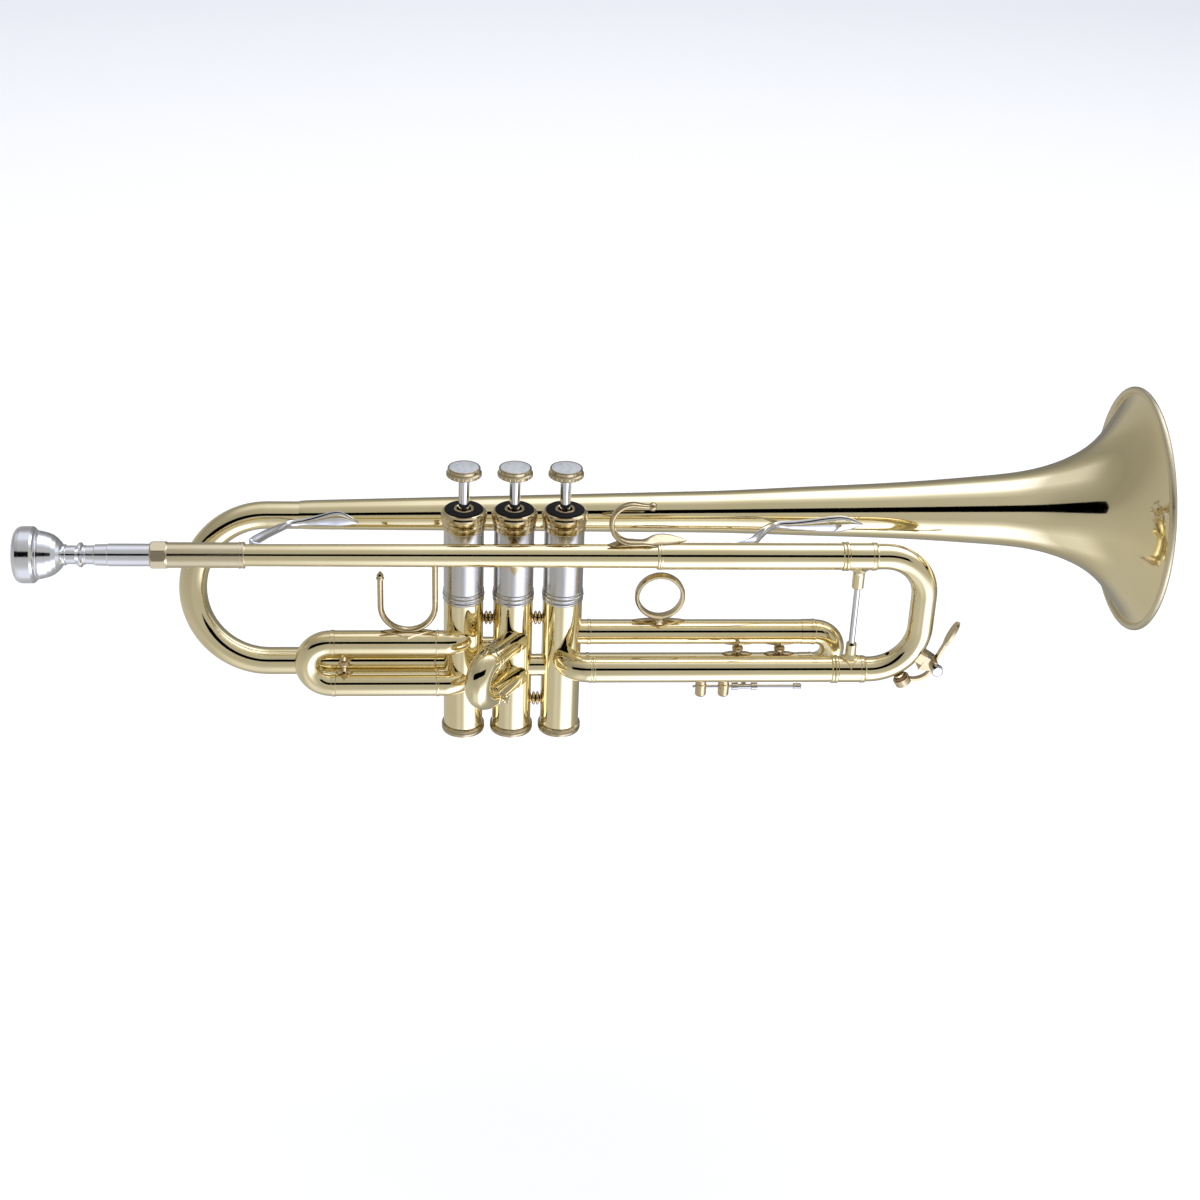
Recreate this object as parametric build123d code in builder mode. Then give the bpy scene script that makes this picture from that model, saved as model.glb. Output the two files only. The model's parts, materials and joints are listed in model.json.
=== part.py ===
"""A three-valve trumpet, modelled as the separate pieces that it comes apart into.

Millimetres. +X runs towards the bell, +Y away from the leadpipe side, +Z up along the valves.
The origin is on the middle valve's axis, level with the leadpipe.
"""
from build123d import *
from math import cos, radians, sin
import os

os.makedirs("parts", exist_ok=True)

# ---- driving dimensions -------------------------------------------------------------------
SOLDER = 0.02                # gap left between two pieces that are soldered together
RUNNING = 0.05               # radial clearance of everything that slides or turns

PITCH = 24.26                # from one valve axis to the next
CASING_R = 9.7
BORE_R = 8.45                # inside of a valve casing
CASING_TOP_Z = 4.8
CASING_JOINT_Z = -34.0       # where the nickel upper casing meets the brass lower casing
CASING_BOTTOM_Z = -106.4
STROKE = 16.0                # travel of a piston

LEADPIPE_Y = -20.6
LEADPIPE_START_X = -128.7
LEADPIPE_END_X = 67.4
LEADPIPE_START_R = 5.25
LEADPIPE_END_R = 5.8
RECEIVER_X = -170.5

MAIN_TUBE_R = 6.45           # fixed outer tubes of the main tuning slide
MAIN_LEG_R = 5.95            # its inner legs
MAIN_BORE_R = 5.5
MAIN_LOWER_Z = -62.4
MAIN_TUBE_END_X = 159.8
MAIN_FERRULE_END_X = 173.5
BOW_R = 6.75                 # outside and inside of the bell bow's tube
BOW_BORE_R = 5.7
BRANCH_END_X = -44.0         # where the bell bow meets its ferrule at the first valve

VALVE_TUBE_R = 6.15          # outer tubes of the three valve slides
VALVE_LEG_R = 5.55           # inner tubes of the three valve slides
VALVE_BORE_R = 5.15

FIRST_Y = -10.0
FIRST_UPPER_Z = -53.3
FIRST_LOWER_Z = -76.4
FIRST_START_X = -36.2
FIRST_FERRULE_X = -87.0
FIRST_BOW_X = -89.0
SADDLE_X = -51.2

SECOND_ANGLE = 34.2          # the second slide leans this far from -Y towards -X
SECOND_START = (4.15, -2.82)  # its plane passes here, beside the middle valve's axis
SECOND_UPPER_Z = -53.5
SECOND_LOWER_Z = -73.2
SECOND_LEG_START = 10.3      # distances along the second slide, from that point
SECOND_TUBE_END = 26.0
SECOND_FERRULE_END = 28.6

THIRD_UPPER_Z = -52.7
THIRD_LOWER_Z = -71.7
THIRD_START_X = 37.0
THIRD_FERRULE_X = 144.0
THIRD_BOW_X = 151.0
RING_X = 72.3
RING_Z = -32.6
RING_INNER_R = 10.35
THIRD_TRAVEL = 18.0

BELL_Y = 22.9
BELL_RIM_X = 312.8
BELL_RIM_Z = 5.04
BELL_RISE = 0.0122           # the bell axis climbs this much for each unit of X
BELL_RIM_R = 61.12
BELL_START_X = -104.0
BELL_START_R = 7.1
BELL_TAIL_END_X = 93.0
BELL_TAIL_END_R = 10.25
BELL_WALL = 0.7
BEAD_R = 1.8                 # the wire rolled into the bell rim

BOW_CENTRE_X = -119.9
BRANCH_Y = 3.2               # the bell bow comes back to the first valve here
BRANCH_Z = -70.8

POSTS_X = (92.6, 103.9)      # the two posts that hold the third slide's stop rod
STOP_Z = -72.2
STOP_ROD_R = 0.8
SLEEVE_X = 108.0
SLEEVE_LENGTH = 12.6

KEY_X = 207.7                # water key pivot
KEY_Z = -58.7
KEY_LEVER = (9.6, 21.5)      # thumb pad's tip, from the pivot
KEY_CUP_ANGLE = -59.0        # where the cork sits on the bow

valves_x = [-PITCH, 0.0, PITCH]
plus_x = (1, 0, 0)
minus_x = (-1, 0, 0)
minus_y = (0, -1, 0)
plus_z = (0, 0, 1)
minus_z = (0, 0, -1)
second_direction = (-sin(radians(SECOND_ANGLE)), -cos(radians(SECOND_ANGLE)), 0)


# ---- features used by many pieces -----------------------------------------------------------
def side_plane(origin, direction):
    """A plane whose local x runs along the direction, and local y as near to +Z as it can."""
    along = Vector(*direction).normalized()
    up = Vector(1, 0, 0) if abs(along.Z) > 0.99 else Vector(0, 0, 1)
    return Plane(origin=origin, x_dir=along, z_dir=along.cross(up))


def turned(origin, direction, outline, mode=Mode.ADD):
    """A turned solid: its outline is given as (distance along, radius) pairs."""
    plane = side_plane(origin, direction)
    with BuildSketch(plane) as section:
        with BuildLine():
            Polyline(*outline, close=True)
        make_face()
    revolve(section.sketch, axis=Axis(plane.origin, plane.x_dir), mode=mode)


def rod(origin, direction, length, radius, mode=Mode.ADD):
    """A plain round rod."""
    turned(origin, direction, [(0, 0), (0, radius), (length, radius), (length, 0)], mode)


def pipe(origin, direction, length, outer, inner, mode=Mode.ADD):
    """A plain straight tube."""
    turned(origin, direction, [(0, inner), (0, outer), (length, outer), (length, inner)], mode)


def bent_pipe(route, outer, inner):
    """A tube of constant size along a route of straight runs and arcs."""
    with BuildSketch(Plane(origin=route @ 0, z_dir=route % 0)) as section:
        Circle(outer)
        Circle(inner, mode=Mode.SUBTRACT)
    sweep(sections=section.sketch, path=route)


def diamond_foot(centre, along, outward, tube_r, half_length, half_width, thickness=0.8):
    """A thin diamond plate bent round a tube, as it is soldered under a brace."""
    with BuildPart(mode=Mode.PRIVATE) as foot:
        with BuildSketch(Plane(origin=centre, x_dir=along, z_dir=outward)) as diamond:
            with BuildLine():
                Polyline(
                    (-half_length, 0), (0, -half_width), (half_length, 0), (0, half_width), close=True
                )
            make_face()
        extrude(diamond.sketch, amount=tube_r + thickness)
        start = Vector(*centre) - Vector(*along) * half_length
        pipe(start, along, 2 * half_length, tube_r + thickness, tube_r + SOLDER,
             mode=Mode.INTERSECT)
    add(foot.part)


def leg_brace(x, y, upper_z, lower_z, tube_r, half_length, half_width):
    """A turned post with a ball at its middle, between two diamond feet on a slide's two tubes."""
    top = (upper_z - lower_z) / 2 - tube_r - 0.3
    outline = [
        (-top, 0), (-top, 2.0), (1.1 - top, 1.3), (-1.9, 1.2), (-1.5, 2.0), (-0.8, 2.6), (0, 2.8),
        (0.8, 2.6), (1.5, 2.0), (1.9, 1.2), (top - 1.1, 1.3), (top, 2.0), (top, 0),
    ]
    turned((x, y, (upper_z + lower_z) / 2), plus_z, outline)
    diamond_foot((x, y, upper_z), plus_x, minus_z, tube_r, half_length, half_width)
    diamond_foot((x, y, lower_z), plus_x, plus_z, tube_r, half_length, half_width)


def cut_casing(valve_x):
    """Trims whatever is being built to the outside of one valve casing."""
    rod((valve_x, 0, CASING_BOTTOM_Z - 5), plus_z, 130, CASING_R + SOLDER, Mode.SUBTRACT)


def bell_radius(x):
    """Outside radius of the bell's long, nearly straight tail."""
    share = (x - BELL_START_X) / (BELL_TAIL_END_X - BELL_START_X)
    return BELL_START_R + share * (BELL_TAIL_END_R - BELL_START_R)


# ---- bell -----------------------------------------------------------------------------------
bell_direction = (1, 0, BELL_RISE)
bell_origin = (0, BELL_Y, BELL_RIM_Z - BELL_RISE * BELL_RIM_X)
flare_points = [
    (BELL_TAIL_END_X, BELL_TAIL_END_R), (143, 12.05), (193, 14.1), (233, 16.9), (263, 20.9), (279, 26.3),
    (289.5, 32.2), (297.5, 39.2), (305, 48.5), (310.9, 58.4),
]
flare_steps = [0.0, 0.12, 0.24, 0.36, 0.48, 0.58, 0.68, 0.76, 0.82, 0.88, 0.92, 0.96, 1.0]
bead_centre = (BELL_RIM_X - BEAD_R, BELL_RIM_R - BEAD_R)

with BuildPart() as bell:
    with BuildSketch(side_plane(bell_origin, bell_direction)) as bell_section:
        with BuildLine():
            tail = Line((BELL_START_X, BELL_START_R), (BELL_TAIL_END_X, BELL_TAIL_END_R))
            flare = Spline(*flare_points, tangents=[(1, 0.017), (0.42, 0.91)])
            inside = []
            for step in flare_steps:
                slope = flare % step
                inside.append(flare @ step + Vector(slope.Y, -slope.X) * BELL_WALL)
            inner_flare = Spline(*inside, tangents=[(1, 0.017), (0.42, 0.91)])
            Line(flare @ 1, inner_flare @ 1)
            inner_start = Vector(BELL_START_X, BELL_START_R - BELL_WALL)
            Line(inner_flare @ 0, inner_start)
            Line(inner_start, tail @ 0)
        make_face()
        with Locations(bead_centre):
            Circle(BEAD_R + SOLDER, mode=Mode.SUBTRACT)
    revolve(bell_section.sketch, axis=Axis(bell_origin, bell_direction))
bell.part.label = "bell"
export_step(bell.part, "parts/bell.step")

with BuildPart() as bell_rim_bead:
    with BuildSketch(side_plane(bell_origin, bell_direction)) as bead_section:
        with Locations(bead_centre):
            Circle(BEAD_R)
    revolve(bead_section.sketch, axis=Axis(bell_origin, bell_direction))
bell_rim_bead.part.label = "bell_rim_bead"
export_step(bell_rim_bead.part, "parts/bell_rim_bead.step")

bow_top = Vector(BOW_CENTRE_X, BELL_Y, bell_origin[2] + BELL_RISE * BOW_CENTRE_X)
bow_bottom = Vector(BOW_CENTRE_X, BRANCH_Y, BRANCH_Z)
bow_up = (bow_top - bow_bottom).normalized()
bow_radius = (bow_top - bow_bottom).length / 2

with BuildPart() as bell_bow:
    bow_plane = Plane(origin=(bow_top + bow_bottom) * 0.5, x_dir=minus_x, z_dir=Vector(-1, 0, 0).cross(bow_up))
    with BuildLine(bow_plane) as bow_route:
        Line((BOW_CENTRE_X - BELL_START_X, bow_radius), (0, bow_radius))
        CenterArc((0, 0), bow_radius, 90, -180)
        Line((0, -bow_radius), (BOW_CENTRE_X - BRANCH_END_X, -bow_radius))
    bent_pipe(bow_route.line, BOW_R, BOW_BORE_R)
    rod((BELL_START_X, BELL_Y, 0), bell_direction, 4, 12, Mode.SUBTRACT)
bell_bow.part.label = "bell_bow"
export_step(bell_bow.part, "parts/bell_bow.step")

# ---- leadpipe and receiver --------------------------------------------------------------------
with BuildPart() as leadpipe:
    leadpipe_length = LEADPIPE_END_X - LEADPIPE_START_X
    turned((LEADPIPE_START_X, LEADPIPE_Y, 0), plus_x,
           [(0, 4.4), (0, LEADPIPE_START_R), (leadpipe_length, LEADPIPE_END_R),
            (leadpipe_length, 5.3)])
leadpipe.part.label = "leadpipe"
export_step(leadpipe.part, "parts/leadpipe.step")

SHANK_START_R = 5.35         # mouthpiece shank at the receiver's mouth, and at its inner end
SHANK_END_R = 4.75
SHANK_DEPTH = 22.0
COLLAR_LENGTH = 8.1
with BuildPart() as mouthpiece_receiver:
    with BuildSketch(Plane(origin=(RECEIVER_X, LEADPIPE_Y, 0), z_dir=plus_x)) as collar:
        RegularPolygon(6.75, 8)
    extrude(collar.sketch, amount=COLLAR_LENGTH)
    receiver_end = LEADPIPE_START_X + 1.9 - RECEIVER_X
    turned((RECEIVER_X, LEADPIPE_Y, 0), plus_x,
           [(0, 0), (0, 6.0), (1.2, 6.75), (6.9, 6.75), (COLLAR_LENGTH, 6.1), (COLLAR_LENGTH, 0)],
           Mode.INTERSECT)
    turned((RECEIVER_X, LEADPIPE_Y, 0), plus_x,
           [(COLLAR_LENGTH, 0), (COLLAR_LENGTH, 6.05), (40.8, 6.05), (40.9, 6.35), (41.6, 6.35), (41.7, 6.15),
            (42.6, 6.15), (42.7, 6.35), (43.4, 6.35), (receiver_end, 6.1), (receiver_end, 0)])
    seat_end = SHANK_DEPTH + 1
    pipe_end = LEADPIPE_START_X - RECEIVER_X
    turned((RECEIVER_X, LEADPIPE_Y, 0), plus_x,
           [(-1, 0), (-1, SHANK_START_R + RUNNING + 0.03), (seat_end, SHANK_END_R + RUNNING), (seat_end, 4.4),
            (pipe_end, 4.4), (pipe_end, LEADPIPE_START_R + SOLDER), (60, LEADPIPE_START_R + SOLDER + 0.05),
            (60, 0)],
           Mode.SUBTRACT)
mouthpiece_receiver.part.label = "mouthpiece_receiver"
export_step(mouthpiece_receiver.part, "parts/mouthpiece_receiver.step")

with BuildPart() as mouthpiece:
    outside = [
        (-62.3, 0), (-62.3, 9.8), (-62.0, 10.9), (-61.2, 12.2), (-60.0, 13.1), (-58.6, 13.35), (-53.6, 13.35),
        (-52.6, 12.6), (-51.9, 11.6), (-51.3, 11.6), (-50.9, 11.2), (-50.2, 11.35), (-48.9, 11.0), (-46.6, 10.4),
        (-44.4, 9.45), (-42.6, 8.1), (-41.1, 6.5), (-40.2, 5.3), (-39.8, 4.7), (-39.4, 5.0), (-38.9, 5.0),
        (-38.6, 4.4), (-34.2, 4.4), (-33.0, 5.4), (-32.5, 5.85), (-31.6, 5.85), (-31.0, 5.0), (-30.7, 4.4),
        (-30.4, 4.65), (-29.9, 4.65), (-29.6, 4.4), (-25.8, 4.45), (-25.4, 5.0), (-19.6, 5.1), (-19.3, 5.35),
        (0, SHANK_START_R), (SHANK_DEPTH, SHANK_END_R), (SHANK_DEPTH, 0),
    ]
    turned((RECEIVER_X, LEADPIPE_Y, 0), plus_x, outside)
    cup = [
        (-63.4, 0), (-63.4, 10.0), (-62.3, 9.4), (-61.4, 8.8), (-59.9, 8.3), (-56.5, 7.9), (-53.2, 6.8),
        (-51.0, 5.0), (-49.8, 2.6), (-48.8, 1.85), (-45.5, 1.85), (-20.0, 2.9), (SHANK_DEPTH + 1, 4.2),
        (SHANK_DEPTH + 1, 0),
    ]
    turned((RECEIVER_X, LEADPIPE_Y, 0), plus_x, cup, Mode.SUBTRACT)
mouthpiece.part.label = "mouthpiece"
export_step(mouthpiece.part, "parts/mouthpiece.step")

# ---- main tuning slide, fixed tubes -------------------------------------------------------------
TUBE_BEAD_X = 156.3
with BuildPart() as main_tube_upper:
    turned((0, LEADPIPE_Y, 0), plus_x,
           [(LEADPIPE_END_X, MAIN_LEG_R + RUNNING), (LEADPIPE_END_X, 6.3), (67.8, 6.6), (68.3, 6.6),
            (68.6, 6.45), (68.9, 6.6), (69.4, 6.6), (70.0, MAIN_TUBE_R), (TUBE_BEAD_X, MAIN_TUBE_R),
            (TUBE_BEAD_X + 0.5, 7.05), (TUBE_BEAD_X + 1.3, 7.05), (TUBE_BEAD_X + 1.7, 6.6),
            (TUBE_BEAD_X + 2.2, 7.05), (TUBE_BEAD_X + 3.1, 7.05),
            (MAIN_TUBE_END_X, 6.7), (MAIN_TUBE_END_X, MAIN_LEG_R + RUNNING)])
main_tube_upper.part.label = "main_tube_upper"
export_step(main_tube_upper.part, "parts/main_tube_upper.step")

ELBOW_END_X = 37.0
with BuildPart() as main_tube_lower:
    turned((0, LEADPIPE_Y, MAIN_LOWER_Z), plus_x,
           [(ELBOW_END_X, MAIN_LEG_R + RUNNING), (ELBOW_END_X, 6.65), (37.8, 6.65), (38.1, MAIN_TUBE_R),
            (38.6, MAIN_TUBE_R), (38.9, 6.65), (39.6, 6.65), (39.9, MAIN_TUBE_R), (TUBE_BEAD_X, MAIN_TUBE_R),
            (TUBE_BEAD_X + 0.5, 7.05), (TUBE_BEAD_X + 1.3, 7.05), (TUBE_BEAD_X + 1.7, 6.6),
            (TUBE_BEAD_X + 2.2, 7.05), (TUBE_BEAD_X + 3.1, 7.05),
            (MAIN_TUBE_END_X, 6.7), (MAIN_TUBE_END_X, MAIN_LEG_R + RUNNING)])
main_tube_lower.part.label = "main_tube_lower"
export_step(main_tube_lower.part, "parts/main_tube_lower.step")

ELBOW_R = 11.2
with BuildPart() as main_entry_elbow:
    with BuildLine(Plane.XY.offset(MAIN_LOWER_Z)) as elbow_route:
        JernArc((ELBOW_END_X, LEADPIPE_Y), (-1, 0), ELBOW_R, -90)
    bent_pipe(elbow_route.line, 6.35, MAIN_BORE_R)
    cut_casing(PITCH)
main_entry_elbow.part.label = "main_entry_elbow"
export_step(main_entry_elbow.part, "parts/main_entry_elbow.step")

# ---- main tuning slide, moving --------------------------------------------------------------------
LEG_START_X = 100.0
with BuildPart() as main_slide_legs:
    ferrule_start = MAIN_TUBE_END_X + 0.1
    for leg_z in (0, MAIN_LOWER_Z):
        turned((0, LEADPIPE_Y, leg_z), plus_x,
               [(LEG_START_X, MAIN_BORE_R), (LEG_START_X, MAIN_LEG_R), (ferrule_start, MAIN_LEG_R),
                (ferrule_start, 6.55), (MAIN_FERRULE_END_X - 2.6, 6.55), (MAIN_FERRULE_END_X - 2.4, 6.85),
                (MAIN_FERRULE_END_X - 1.4, 6.85), (MAIN_FERRULE_END_X - 1.2, 6.6),
                (MAIN_FERRULE_END_X - 0.6, 6.8), (MAIN_FERRULE_END_X, 6.5),
                (MAIN_FERRULE_END_X, MAIN_BORE_R)])
main_slide_legs.part.label = "main_slide_legs"
export_step(main_slide_legs.part, "parts/main_slide_legs.step")

UPPER_BEND_R = 21.0
LOWER_BEND_R = 24.0
CROOK_X = 198.8              # the slide's far end, at the tube's centre
BOW_TUBE_R = 6.2
with BuildPart() as main_slide_bow:
    upper_bend_x = CROOK_X - UPPER_BEND_R
    lower_bend_x = CROOK_X - LOWER_BEND_R
    lower_bend_z = MAIN_LOWER_Z + LOWER_BEND_R
    with BuildLine(Plane(origin=(0, LEADPIPE_Y, 0), x_dir=plus_x, z_dir=(0, -1, 0))) as crook_route:
        Line((MAIN_FERRULE_END_X, 0), (upper_bend_x, 0))
        CenterArc((upper_bend_x, -UPPER_BEND_R), UPPER_BEND_R, 90, -90)
        Line((CROOK_X, -UPPER_BEND_R), (CROOK_X, lower_bend_z))
        CenterArc((lower_bend_x, lower_bend_z), LOWER_BEND_R, 0, -90)
        Line((lower_bend_x, MAIN_LOWER_Z), (MAIN_FERRULE_END_X, MAIN_LOWER_Z))
    bent_pipe(crook_route.line, BOW_TUBE_R, MAIN_BORE_R)
    # the nipple that the water key's cork closes
    key_bend = Vector(lower_bend_x, LEADPIPE_Y, lower_bend_z)
    cup_direction = (cos(radians(KEY_CUP_ANGLE)), 0, sin(radians(KEY_CUP_ANGLE)))
    turned(key_bend, cup_direction,
           [(LOWER_BEND_R + 5.8, 1.2), (LOWER_BEND_R + 5.8, 3.4), (LOWER_BEND_R + 7.0, 2.7),
            (LOWER_BEND_R + 8.6, 2.5), (LOWER_BEND_R + 8.6, 1.2)])
    rod(key_bend, cup_direction, LOWER_BEND_R + 9, 1.2, Mode.SUBTRACT)
main_slide_bow.part.label = "main_slide_bow"
export_step(main_slide_bow.part, "parts/main_slide_bow.step")

BRACE_X = 165.6
with BuildPart() as main_slide_brace:
    drop = -MAIN_LOWER_Z
    turned((BRACE_X, LEADPIPE_Y, 0), minus_z,
           [(6.7, 0), (6.7, 3.0), (7.8, 3.2), (9.0, 2.9), (16.4, 2.9), (17.0, 2.5), (17.0, 1.5),
            (47.5, 1.5), (47.5, 2.3), (48.1, 2.6), (53.2, 2.6), (54.6, 3.0), (drop - 6.7, 3.3),
            (drop - 6.7, 0)])
    diamond_foot((BRACE_X, LEADPIPE_Y, 0), plus_x, minus_z, 6.55, 5.0, 5.5)
    diamond_foot((BRACE_X, LEADPIPE_Y, MAIN_LOWER_Z), plus_x, plus_z, 6.55, 5.0, 6.0)
main_slide_brace.part.label = "main_slide_brace"
export_step(main_slide_brace.part, "parts/main_slide_brace.step")

# ---- water key ------------------------------------------------------------------------------------
EAR_Y = 4.2                  # the ears stand this far either side of the slide's plane
EAR_THICKNESS = 1.2
HUB_HALF = 2.2
PIN_R = 0.9
pivot = Vector(KEY_X, LEADPIPE_Y, KEY_Z)
from_bend = pivot - key_bend
key_angle_direction = from_bend.normalized()
with BuildPart() as water_key_saddle:
    foot_base = key_bend + key_angle_direction * (LOWER_BEND_R + 3.4)
    with BuildSketch(Plane(origin=foot_base, x_dir=(0, 1, 0), z_dir=key_angle_direction)) as saddle_foot:
        RectangleRounded(2 * EAR_Y + 2.4, 7.4, 1.6)
    extrude(saddle_foot.sketch, amount=4.0)
    with BuildSketch(Plane(origin=(0, LEADPIPE_Y, 0), x_dir=plus_x, z_dir=(0, -1, 0))) as ears:
        with BuildLine():
            Polyline((pivot.X - 0.9, pivot.Z - 1.9), (pivot.X - 8.6, pivot.Z - 1.2),
                     (pivot.X - 5.0, pivot.Z + 6.0), (pivot.X + 0.9, pivot.Z + 1.9), close=True)
        make_face()
        with Locations((pivot.X, pivot.Z)):
            Circle(2.1)
    extrude(ears.sketch, amount=EAR_Y + EAR_THICKNESS, both=True)
    with BuildSketch(Plane(origin=(0, LEADPIPE_Y, 0), x_dir=plus_x, z_dir=(0, -1, 0))) as between:
        with Locations((pivot.X + 8 * key_angle_direction.X, pivot.Z + 8 * key_angle_direction.Z)):
            Rectangle(21.6, 24, rotation=-28)
    extrude(between.sketch, amount=EAR_Y, both=True, mode=Mode.SUBTRACT)
    with BuildLine(Plane(origin=(0, LEADPIPE_Y, 0), x_dir=plus_x, z_dir=(0, -1, 0))) as bend_route:
        CenterArc((lower_bend_x, lower_bend_z), LOWER_BEND_R, 40, -130)
    with BuildSketch(Plane(origin=bend_route.line @ 0, z_dir=bend_route.line % 0)) as bend_section:
        Circle(BOW_TUBE_R + SOLDER)
    sweep(sections=bend_section.sketch, path=bend_route.line, mode=Mode.SUBTRACT)
    rod((pivot.X, LEADPIPE_Y - 10, pivot.Z), (0, 1, 0), 20, PIN_R + SOLDER, Mode.SUBTRACT)
water_key_saddle.part.label = "water_key_saddle"
export_step(water_key_saddle.part, "parts/water_key_saddle.step")

with BuildPart() as water_key_screw:
    turned((pivot.X, LEADPIPE_Y, pivot.Z), (0, 1, 0),
           [(-9.6, 0), (-9.6, 2.2), (-9.1, 2.9), (-7.2, 3.0), (-6.4, 2.6), (-5.5, 2.0), (-5.5, PIN_R),
            (6.4, PIN_R), (6.8, 0.6), (6.8, 0)])
water_key_screw.part.label = "water_key_screw"
export_step(water_key_screw.part, "parts/water_key_screw.step")

CUP_BACK = LOWER_BEND_R + 13.1   # distances of the cork cup from the bend's centre
CUP_FRONT = LOWER_BEND_R + 9.6
CORK_FRONT = LOWER_BEND_R + 8.62
cup_centre = key_bend + Vector(*cup_direction) * (CUP_BACK - 0.8)
with BuildPart() as water_key_lever:
    turned((pivot.X, LEADPIPE_Y, pivot.Z), (0, 1, 0),
           [(-HUB_HALF, PIN_R + RUNNING), (-HUB_HALF, 1.9), (HUB_HALF, 1.9), (HUB_HALF, PIN_R + RUNNING)])
    turned(key_bend, cup_direction,
           [(CUP_FRONT, 3.3), (CUP_FRONT, 4.1), (CUP_BACK, 4.1), (CUP_BACK + 0.5, 3.4), (CUP_BACK + 0.5, 0),
            (CUP_BACK - 0.9, 0), (CUP_BACK - 0.9, 3.3)])
    with BuildSketch(Plane(origin=(0, LEADPIPE_Y, 0), x_dir=plus_x, z_dir=(0, -1, 0))) as arm:
        with BuildLine() as arm_line:
            ThreePointArc((pivot.X, pivot.Z - 1.4), (pivot.X - 4.2, pivot.Z - 8.0),
                          (cup_centre.X + 2.6, cup_centre.Z + 1.6))
        trace(arm_line.line, 1.5)
    extrude(arm.sketch, amount=1.5, both=True)
    lever_tip = (pivot.X + KEY_LEVER[0], pivot.Z + KEY_LEVER[1])
    with BuildSketch(Plane(origin=(0, LEADPIPE_Y, 0), x_dir=plus_x, z_dir=(0, -1, 0))) as stalk:
        with BuildLine() as stalk_line:
            Line((pivot.X + 0.6, pivot.Z + 1.2), lever_tip)
        trace(stalk_line.line, 1.3)
    extrude(stalk.sketch, amount=1.6, both=True)
    pad_direction = Vector(KEY_LEVER[0], 0, KEY_LEVER[1]).normalized()
    pad_normal = Vector(-pad_direction.Z, 0, pad_direction.X)
    pad_middle = pivot + pad_direction * 17.6 - pad_normal * 0.7
    with BuildSketch(Plane(origin=pad_middle, x_dir=pad_direction, z_dir=pad_normal)) as pad:
        Ellipse(7.2, 3.1)
    extrude(pad.sketch, amount=1.5)
    rod((pivot.X, LEADPIPE_Y - HUB_HALF - 1, pivot.Z), (0, 1, 0), 2 * HUB_HALF + 2, PIN_R + RUNNING,
        Mode.SUBTRACT)
    rod(key_bend, cup_direction, CUP_BACK - 0.9, 3.3, Mode.SUBTRACT)
water_key_lever.part.label = "water_key_lever"
export_step(water_key_lever.part, "parts/water_key_lever.step")

with BuildPart() as water_key_cork:
    rod((key_bend + Vector(*cup_direction) * CORK_FRONT), cup_direction,
        CUP_BACK - 0.92 - CORK_FRONT, 3.25)
water_key_cork.part.label = "water_key_cork"
export_step(water_key_cork.part, "parts/water_key_cork.step")

with BuildPart() as water_key_spring:
    for coil_start in (-4.0, 2.5):
        with BuildLine() as coil:
            Helix(pitch=0.65, height=1.3, radius=1.45, center=(pivot.X, LEADPIPE_Y + coil_start, pivot.Z),
                  direction=(0, 1, 0))
        with BuildSketch(Plane(origin=coil.line @ 0, z_dir=coil.line % 0)) as wire:
            Circle(0.25)
        sweep(sections=wire.sketch, path=coil.line, is_frenet=True)
water_key_spring.part.label = "water_key_spring"
export_step(water_key_spring.part, "parts/water_key_spring.step")

# ---- valve block ------------------------------------------------------------------------------------
SECOND_PORT_X = -0.5
CROSSOVER_Y = 3.0            # the crossover from valve 1 to valve 2 passes behind the second slide
CROSSOVER_Z = -63.5
port_lines = [
    # valve, start point and direction of each tube that opens into a casing
    (-PITCH, (-PITCH, BRANCH_Y, BRANCH_Z), minus_x),
    (-PITCH, (-PITCH, 0, FIRST_UPPER_Z), (-0.35, -1, 0)),
    (-PITCH, (-PITCH, 0, FIRST_LOWER_Z), (-0.35, -1, 0)),
    (-PITCH, (-PITCH, CROSSOVER_Y, CROSSOVER_Z), plus_x),
    (0, (0, CROSSOVER_Y, CROSSOVER_Z), minus_x),
    (0, (SECOND_PORT_X, 0, SECOND_UPPER_Z), minus_y),
    (0, (SECOND_PORT_X, 0, SECOND_LOWER_Z), minus_y),
    (0, (0, 0, -71.6), plus_x),
    (PITCH, (PITCH, 0, -71.6), minus_x),
    (PITCH, (PITCH, 0, THIRD_UPPER_Z), plus_x),
    (PITCH, (PITCH, 0, THIRD_LOWER_Z), plus_x),
    (PITCH, (PITCH + 1.5, 0, MAIN_LOWER_Z), (0, -1, 0)),
]
PORT_R = 4.9

with BuildPart() as casings_upper:
    for valve_x in valves_x:
        turned((valve_x, 0, 0), plus_z,
               [(CASING_JOINT_Z, BORE_R), (CASING_JOINT_Z, 10.0), (-33.6, 10.25), (-32.6, 10.25),
                (-32.3, 9.95), (-31.8, 9.95), (-31.5, 10.4), (-30.0, 10.4), (-29.7, 9.95), (-29.2, 9.95),
                (-29.0, 10.15), (-28.2, 10.15), (-27.9, CASING_R), (CASING_TOP_Z, CASING_R),
                (CASING_TOP_Z, BORE_R)])
casings_upper.part.label = "casings_upper"
export_step(casings_upper.part, "parts/casings_upper.step")

with BuildPart() as casings_lower:
    for valve_x in valves_x:
        pipe((valve_x, 0, CASING_BOTTOM_Z), plus_z, CASING_JOINT_Z - CASING_BOTTOM_Z, CASING_R, BORE_R)
    for valve_x, start, direction in port_lines:
        rod(start, direction, 11, PORT_R, Mode.SUBTRACT)
casings_lower.part.label = "casings_lower"
export_step(casings_lower.part, "parts/casings_lower.step")

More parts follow.
